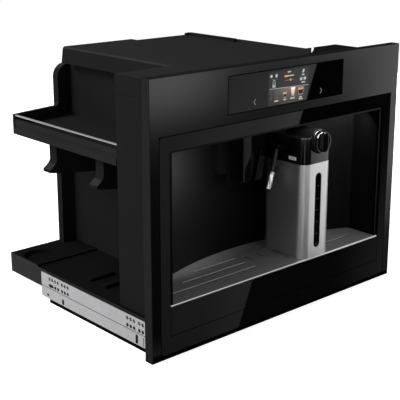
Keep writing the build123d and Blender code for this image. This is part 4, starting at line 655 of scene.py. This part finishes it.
# small signs, bars in place of words, and an outlined cup
WORD_HIGH = 2.2                # a bar of this height stands for a word
WORDS = ((-35.1, 412.7, 7.0), (0.9, 433.8, 8.0), (35.2, 425.7, 6.0), (35.9, 412.7, 9.0),
         (-29.0, 388.2, 9.5), (-8.7, 388.3, 6.5), (10.3, 388.4, 11.0), (30.2, 388.0, 6.0),
         (30.2, 384.9, 9.5))
pale = Drawing("screen_pale_lines", lit("pale_light", (0.42, 0.42, 0.42), (0.62, 0.62, 0.62)), 2)
pale.oval(-41.4, 430.7, 5.6, 5.0)
pale.oval(-29.6, 430.5, 5.0, 6.0)
pale.oval(35.9, 431.9, 4.6, 6.6, lean=0.35)
for word_x, word_up, word_wide in WORDS:
    pale.bar(word_x, word_up, word_wide, WORD_HIGH)
pale.bar(4.2, 427.3, 15.8, 1.9)
pale.bar(30.6, 418.6, 5.4, 4.6)
pale.bar(39.4, 418.9, 6.0, 4.6)
pale.stroke(0.9, (-38.6, 414.8), (-36.6, 423.6), (-33.6, 423.6), (-31.6, 414.8), (-38.6, 414.8))
pale.finished()

# one arrow key on either side of the screen
KEY_WIDE, KEY_HALF, KEY_LINE = 4.2, 4.8, 1.4
keys = Drawing("arrow_keys", lit("key_light", (0.16, 0.16, 0.16), (0.24, 0.24, 0.24)), 2)
for tip_x, tip_up, inwards in ((-81.5, 393.0, 1), (84.0, 392.3, -1)):
    root_x = tip_x + inwards * KEY_WIDE
    keys.stroke(KEY_LINE, (root_x, tip_up + KEY_HALF), (tip_x, tip_up), (root_x, tip_up - KEY_HALF))
keys.finished()

# thin rules and the outlines of cups, dimmer than the rest
dim = Drawing("screen_dim_lines", lit("dim_light", (0.10, 0.10, 0.10), (0.16, 0.155, 0.15)), 2)
dim.bar(-34.0, 425.0, 17.0, 0.7)
dim.bar(35.4, 423.4, 19.5, 0.7)
dim.bar(1.4, 420.2, 21.5, 1.7)
dim.bar(0.5, 382.9, 37.0, 0.7)
dim.bar(-35.1, 417.6, 4.4, 3.4)
dim.ring(-43.6, 398.4, 8.0, 12.6, 0.9, -0.3, 0.3)
dim.ring(-28.6, 398.4, 8.6, 15.4, 1.0)
dim.stroke(1.0, (-28.6, 391.6), (-28.6, 405.2))
dim.ring(-4.6, 397.2, 5.0, 6.0, 0.9, -0.25, 0.25)
dim.ring(35.6, 400.2, 8.6, 9.6, 0.9, -0.25, 0.25)
dim.finished()

# the far edge of the table that the cups stand on
line_light = Drawing("screen_line", lit("line_light", (0.30, 0.28, 0.26), (0.44, 0.42, 0.40)), 3)
line_light.stroke(1.1, (-45.3, 409.7), (0.0, 408.4), (49.0, 406.9))
line_light.finished()

# a marked word and its sign, and the foam on the two coffees; three cups stand in a row
SMALL_CUP, TALL_GLASS, LARGE_CUP = -8.7, 11.0, 30.2
orange = Drawing("screen_orange", lit("orange_light", (0.86, 0.30, 0.09), (0.95, 0.42, 0.14)), 4)
orange.bar(-6.8, 427.3, 7.0, 3.0)
orange.oval(4.2, 420.3, 4.0, 3.8)
orange.bar(SMALL_CUP, 398.6, 8.4, 2.2)
orange.bar(LARGE_CUP, 402.0, 12.6, 2.6)
orange.finished()

# coffee in the small and the large cup
dark_coffee = Drawing("screen_coffee", lit("coffee_light", (0.035, 0.016, 0.014), (0.06, 0.03, 0.027)), 4)
dark_coffee.cup(SMALL_CUP, 393.0, 5.4, 397.5, 7.4)
dark_coffee.cup(LARGE_CUP, 393.6, 9.6, 400.7, 11.2)
dark_coffee.finished()

# the cups themselves
cup_glass = Drawing("screen_cups", lit("cup_light", (0.22, 0.21, 0.20), (0.34, 0.33, 0.32)), 3)
cup_glass.cup(SMALL_CUP, 391.0, 5.4, 401.4, 9.8)
cup_glass.cup(LARGE_CUP, 391.8, 11.2, 405.4, 14.0)
cup_glass.cup(TALL_GLASS, 391.2, 5.2, 407.4, 12.4)
cup_glass.finished()

# milk foam over milk coffee, which is paler towards the foam
milk_foam = Drawing("screen_foam", lit("foam_light", (0.92, 0.92, 0.92), (1.0, 1.0, 1.0)), 4)
milk_foam.cup(TALL_GLASS, 403.6, 9.8, 406.8, 11.2)
milk_foam.finished()

milk_coffee = glowing("milk_coffee_light")
paler_up = eased(milk_coffee.spot()[2], (0.3925, 0.0), (0.398, 0.8), (0.4035, 1.0))
milk_coffee.give(Emission_Color=milk_coffee.blend(paler_up, (0.72, 0.26, 0.10, 1.0),
                                                  (0.98, 0.68, 0.44, 1.0)))
latte = Drawing("screen_latte", milk_coffee, 4)
latte.cup(TALL_GLASS, 392.6, 4.8, 403.6, 9.8)
latte.finished()

# ---------------------------------------------------------------- niche
# The liner is a sheet of dark painted steel with a bowed back wall, screwed in behind the surround.
# The hood and the steam nozzle are black mouldings on it.  Three small lamps under its top light
# the back wall and the jug, and ride out with the machine.
LINER_LIP = 8.5                # its front edge is painted near black this far behind the front, as painted shade in the gap
liner_paint = Finish("niche_paint", Specular_IOR_Level=0.05)
liner_cloud = liner_paint.noise(8.0)
liner_inside = liner_paint.spot()[1].above(FRONT_Y + LINER_LIP / 1000)
liner_sheen = liner_cloud.greys(0.0062, 0.0078)
# The liner's front edge is painted near black, as painted shade.
liner_paint.give(Base_Color=liner_paint.blend(liner_inside, grey(0.0006), liner_sheen),
                 Metallic=liner_inside * 0.5,
                 Roughness=liner_cloud.between(0.38, 0.43),
                 Normal=liner_paint.bump(liner_paint.noise(1500.0, 2.0), 0.00003, 0.4))
coat(liner_paint, "niche_liner")
niche_black = grained("niche_black", 0.0038, 0.0052, roughness=0.45)
coat(niche_black, "niche_hood", "steam_nozzle")
niche_lamp_right = soft_box("niche_lamp_right", (0.19, -0.20, 0.322), aim=(0.20, -0.12, 0.24),
                            size=(0.10, 0.02), power=0.12)
niche_lamp_left = soft_box("niche_lamp_left", (-0.185, -0.215, 0.30), aim=(-0.175, -0.12, 0.265),
                           size=(0.08, 0.02), power=0.42, beam=110.0)
niche_lamp_middle = soft_box("niche_lamp_middle", (0.07, -0.222, 0.334), aim=(0.075, -0.19, 0.2),
                             size=(0.08, 0.008), power=0.05)
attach(niche_lamp_right, "machine")
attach(niche_lamp_left, "machine")
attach(niche_lamp_middle, "machine")

# ---------------------------------------------------------------- coffee spout
# Two outlets in a polished black housing, on a carriage that slides up and down a moulded
# guide on the niche's back wall.
WAVE_DEPTH = 0.0001
POLISHED_EDGE = 0.0012         # radius that eases the edges of polished pieces


def polished(name, roughness, specular):
    """Polished black plastic with eased edges and the faint waves of a moulding."""
    finish = Finish(name, Roughness=roughness, Specular_IOR_Level=specular)
    finish.give(Base_Color=finish.noise(40.0).greys(0.003, 0.004),
                Normal=finish.bump(finish.noise(30.0), WAVE_DEPTH, 0.2, edge=POLISHED_EDGE))
    return finish


spout_gloss = polished("spout_gloss", roughness=0.0, specular=0.1)
coat(spout_gloss, "spout_housing")
coat(niche_black, "spout_guide", "spout_carriage")

# ---------------------------------------------------------------- drip tray and grill
# The pan and the grounds container are grained mouldings that pull out together.  The grill is
# slotted sheet steel, laid in the pan behind a bright folded trim.  Its slot walls and edges are painted
# pale, as painted highlights.
coat(grained_black, "tray_pan", "grounds_container")
grill_steel = Finish("grill_steel", Metallic=0.35)
grill_cloud = grill_steel.noise(14.0)
grill_top = grill_cloud.greys(0.23, 0.28)
# Faces that don't face up are painted pale grey, as painted highlights on the slot edges.
grill_steel.give(Base_Color=grill_steel.blend(on_top(grill_steel), grey(0.5), grill_top),
                 Roughness=grill_cloud.between(0.38, 0.46),
                 Normal=grill_steel.bump(grill_steel.noise(1200.0, 2.0), 0.00004, 0.5, edge=0.0006))
coat(grill_steel, "grill")
trim = Finish("trim_steel", Metallic=1.0, Roughness=0.3)
trim.give(Base_Color=trim.noise(400.0, stretch=(0.02, 1.0, 1.0)).greys(0.55, 0.65))
coat(trim, "grill_trim")

# ---------------------------------------------------------------- milk jug
# The jug is a steel body, brushed level all round, with a black window set in a slot in its front
# from inside.  Plain fill marks and a small arrow are printed on the window.
MARK_WIDE, MARK_LINE = 5.0, 1.0
MARKS_UP = (131.8, 153.9, 176.1, 196.9, 220.9)
LOWEST_MARK = 109.5            # a small arrow at the foot
brushed = Finish("brushed_steel", Metallic=0.88)
brush_lines = brushed.noise(260.0, 4.0, stretch=(0.05, 0.05, 6.0))
brushed.give(Base_Color=brush_lines.greys(0.40, 0.54),
             Roughness=brush_lines.between(0.32, 0.44),
             Normal=brushed.bump(brush_lines, 0.00005, 0.35))
coat(brushed, "jug_body")
coat(gloss, "jug_window")
window_low, window_high = box_of("jug_window")
window_x = (window_low.x + window_high.x) / 2
mark_paint = Finish("mark_paint", Roughness=0.5, Specular_IOR_Level=0.2)
mark_paint.give(Base_Color=mark_paint.noise(900.0).greys(0.05, 0.08))
marks = Drawing("window_marks", mark_paint, 1, body="milk_jug", face=window_low.y / 1000)
for mark_up in MARKS_UP:
    marks.bar(window_x, mark_up, MARK_WIDE, MARK_LINE)
marks.stroke(0.9, (81.5, LOWEST_MARK + 3.5), (84.3, LOWEST_MARK), (87.0, LOWEST_MARK + 3.5))
marks.finished()

# ---------------------------------------------------------------- jug lid, froth knob and milk spout
# The lid, the knob and the spout's elbow are polished black mouldings, clipped together.  The two
# release buttons are white, the knob sits in a ring of dark chrome, and the spout ends in a
# bright steel sleeve that slides on its arm.
parts_gloss = polished("gloss_plastic", roughness=0.0, specular=0.3)
coat(parts_gloss, "froth_knob")
lid_gloss = polished("lid_gloss", roughness=0.09, specular=0.25)
coat(lid_gloss, "jug_lid", "milk_spout")
dark_chrome = metal("dark_chrome", (0.05, 0.09), roughness=(0.05, 0.10), scale=80.0)
coat(dark_chrome, "knob_ring")
button_white = grained("button_white", 0.7225, 0.9775, roughness=0.4)
coat(button_white, "lid_button_left", "lid_button_right")
REFLECTION_STREAKS = ((0.42, 0.0), (0.58, 1.0))    # dark and bright streaks painted along the sleeve, as painted reflections
sleeve_steel = Finish("sleeve_steel", Metallic=1.0)
sleeve_lines = sleeve_steel.noise(420.0, 2.0, stretch=(1.0, 1.0, 0.02))
sleeve_painted_reflections = sleeve_steel.node("ShaderNodeValToRGB", {"stops": REFLECTION_STREAKS}, {"Fac": sleeve_lines})
# The sleeve's dark and bright streaks are painted reflections.
sleeve_steel.give(Base_Color=sleeve_painted_reflections.greys(0.14, 0.72), Roughness=sleeve_lines.between(0.15, 0.25))
coat(sleeve_steel, "milk_spout_tip")

# ---------------------------------------------------------------- water tank and bean hopper
# Both are moulded in smoked plastic.  The tank lifts out at the machine's right with its black
# lid, and the hopper stands under the left top cover, over the grinder.
smoked = Finish("smoked_plastic", Roughness=0.12, Specular_IOR_Level=0.2)
smoked.give(Base_Color=smoked.noise(8.0).greys(0.02, 0.03, 0.1))
coat(smoked, "water_tank", "bean_hopper")
tank_black = grained("tank_lid_black", 0.0102, 0.0138, roughness=0.35)
coat(tank_black, "tank_lid")

# ---------------------------------------------------------------- boiler, pump and board
# The boiler is a pressed steel drum, the pump a moulded block, and the board green laminate under
# a clear lacquer.  They stand on the tray and hang on the right wall.
drum_steel = metal("drum_steel", (0.36, 0.5), roughness=(0.3, 0.45), scale=300.0,
                   stretch=(1.0, 1.0, 0.05))
coat(drum_steel, "boiler")
pump_grey = grained("pump_grey", 0.102, 0.138, roughness=0.5)
coat(pump_grey, "pump")
TRACK_SCALE = (40.0, 40.0, 40.0)
board = Finish("board_laminate", Roughness=0.35)
track_spot = board.place(TRACK_SCALE)
tracks = board.node("ShaderNodeTexBrick", {}, {"Vector": track_spot, "Scale": 1.0}, output="Fac")
board.give(Base_Color=board.blend(tracks, (0.012, 0.09, 0.035, 1.0), (0.03, 0.16, 0.07, 1.0)))
coat(board, "control_board")

# ---------------------------------------------------------------- grinder and brew unit
# The grinder's housing and the brew unit are glass-filled mouldings, grey and sand coloured; the
# piston is a turned steel part that runs in the brew unit.
grinder_grey = grained("grinder_grey", 0.0425, 0.0575, roughness=0.45)
coat(grinder_grey, "grinder")
brew_plastic = grained("brew_plastic", 0.187, 0.253, roughness=0.5)
coat(brew_plastic, "brew_unit")
coat(drum_steel, "brew_piston")
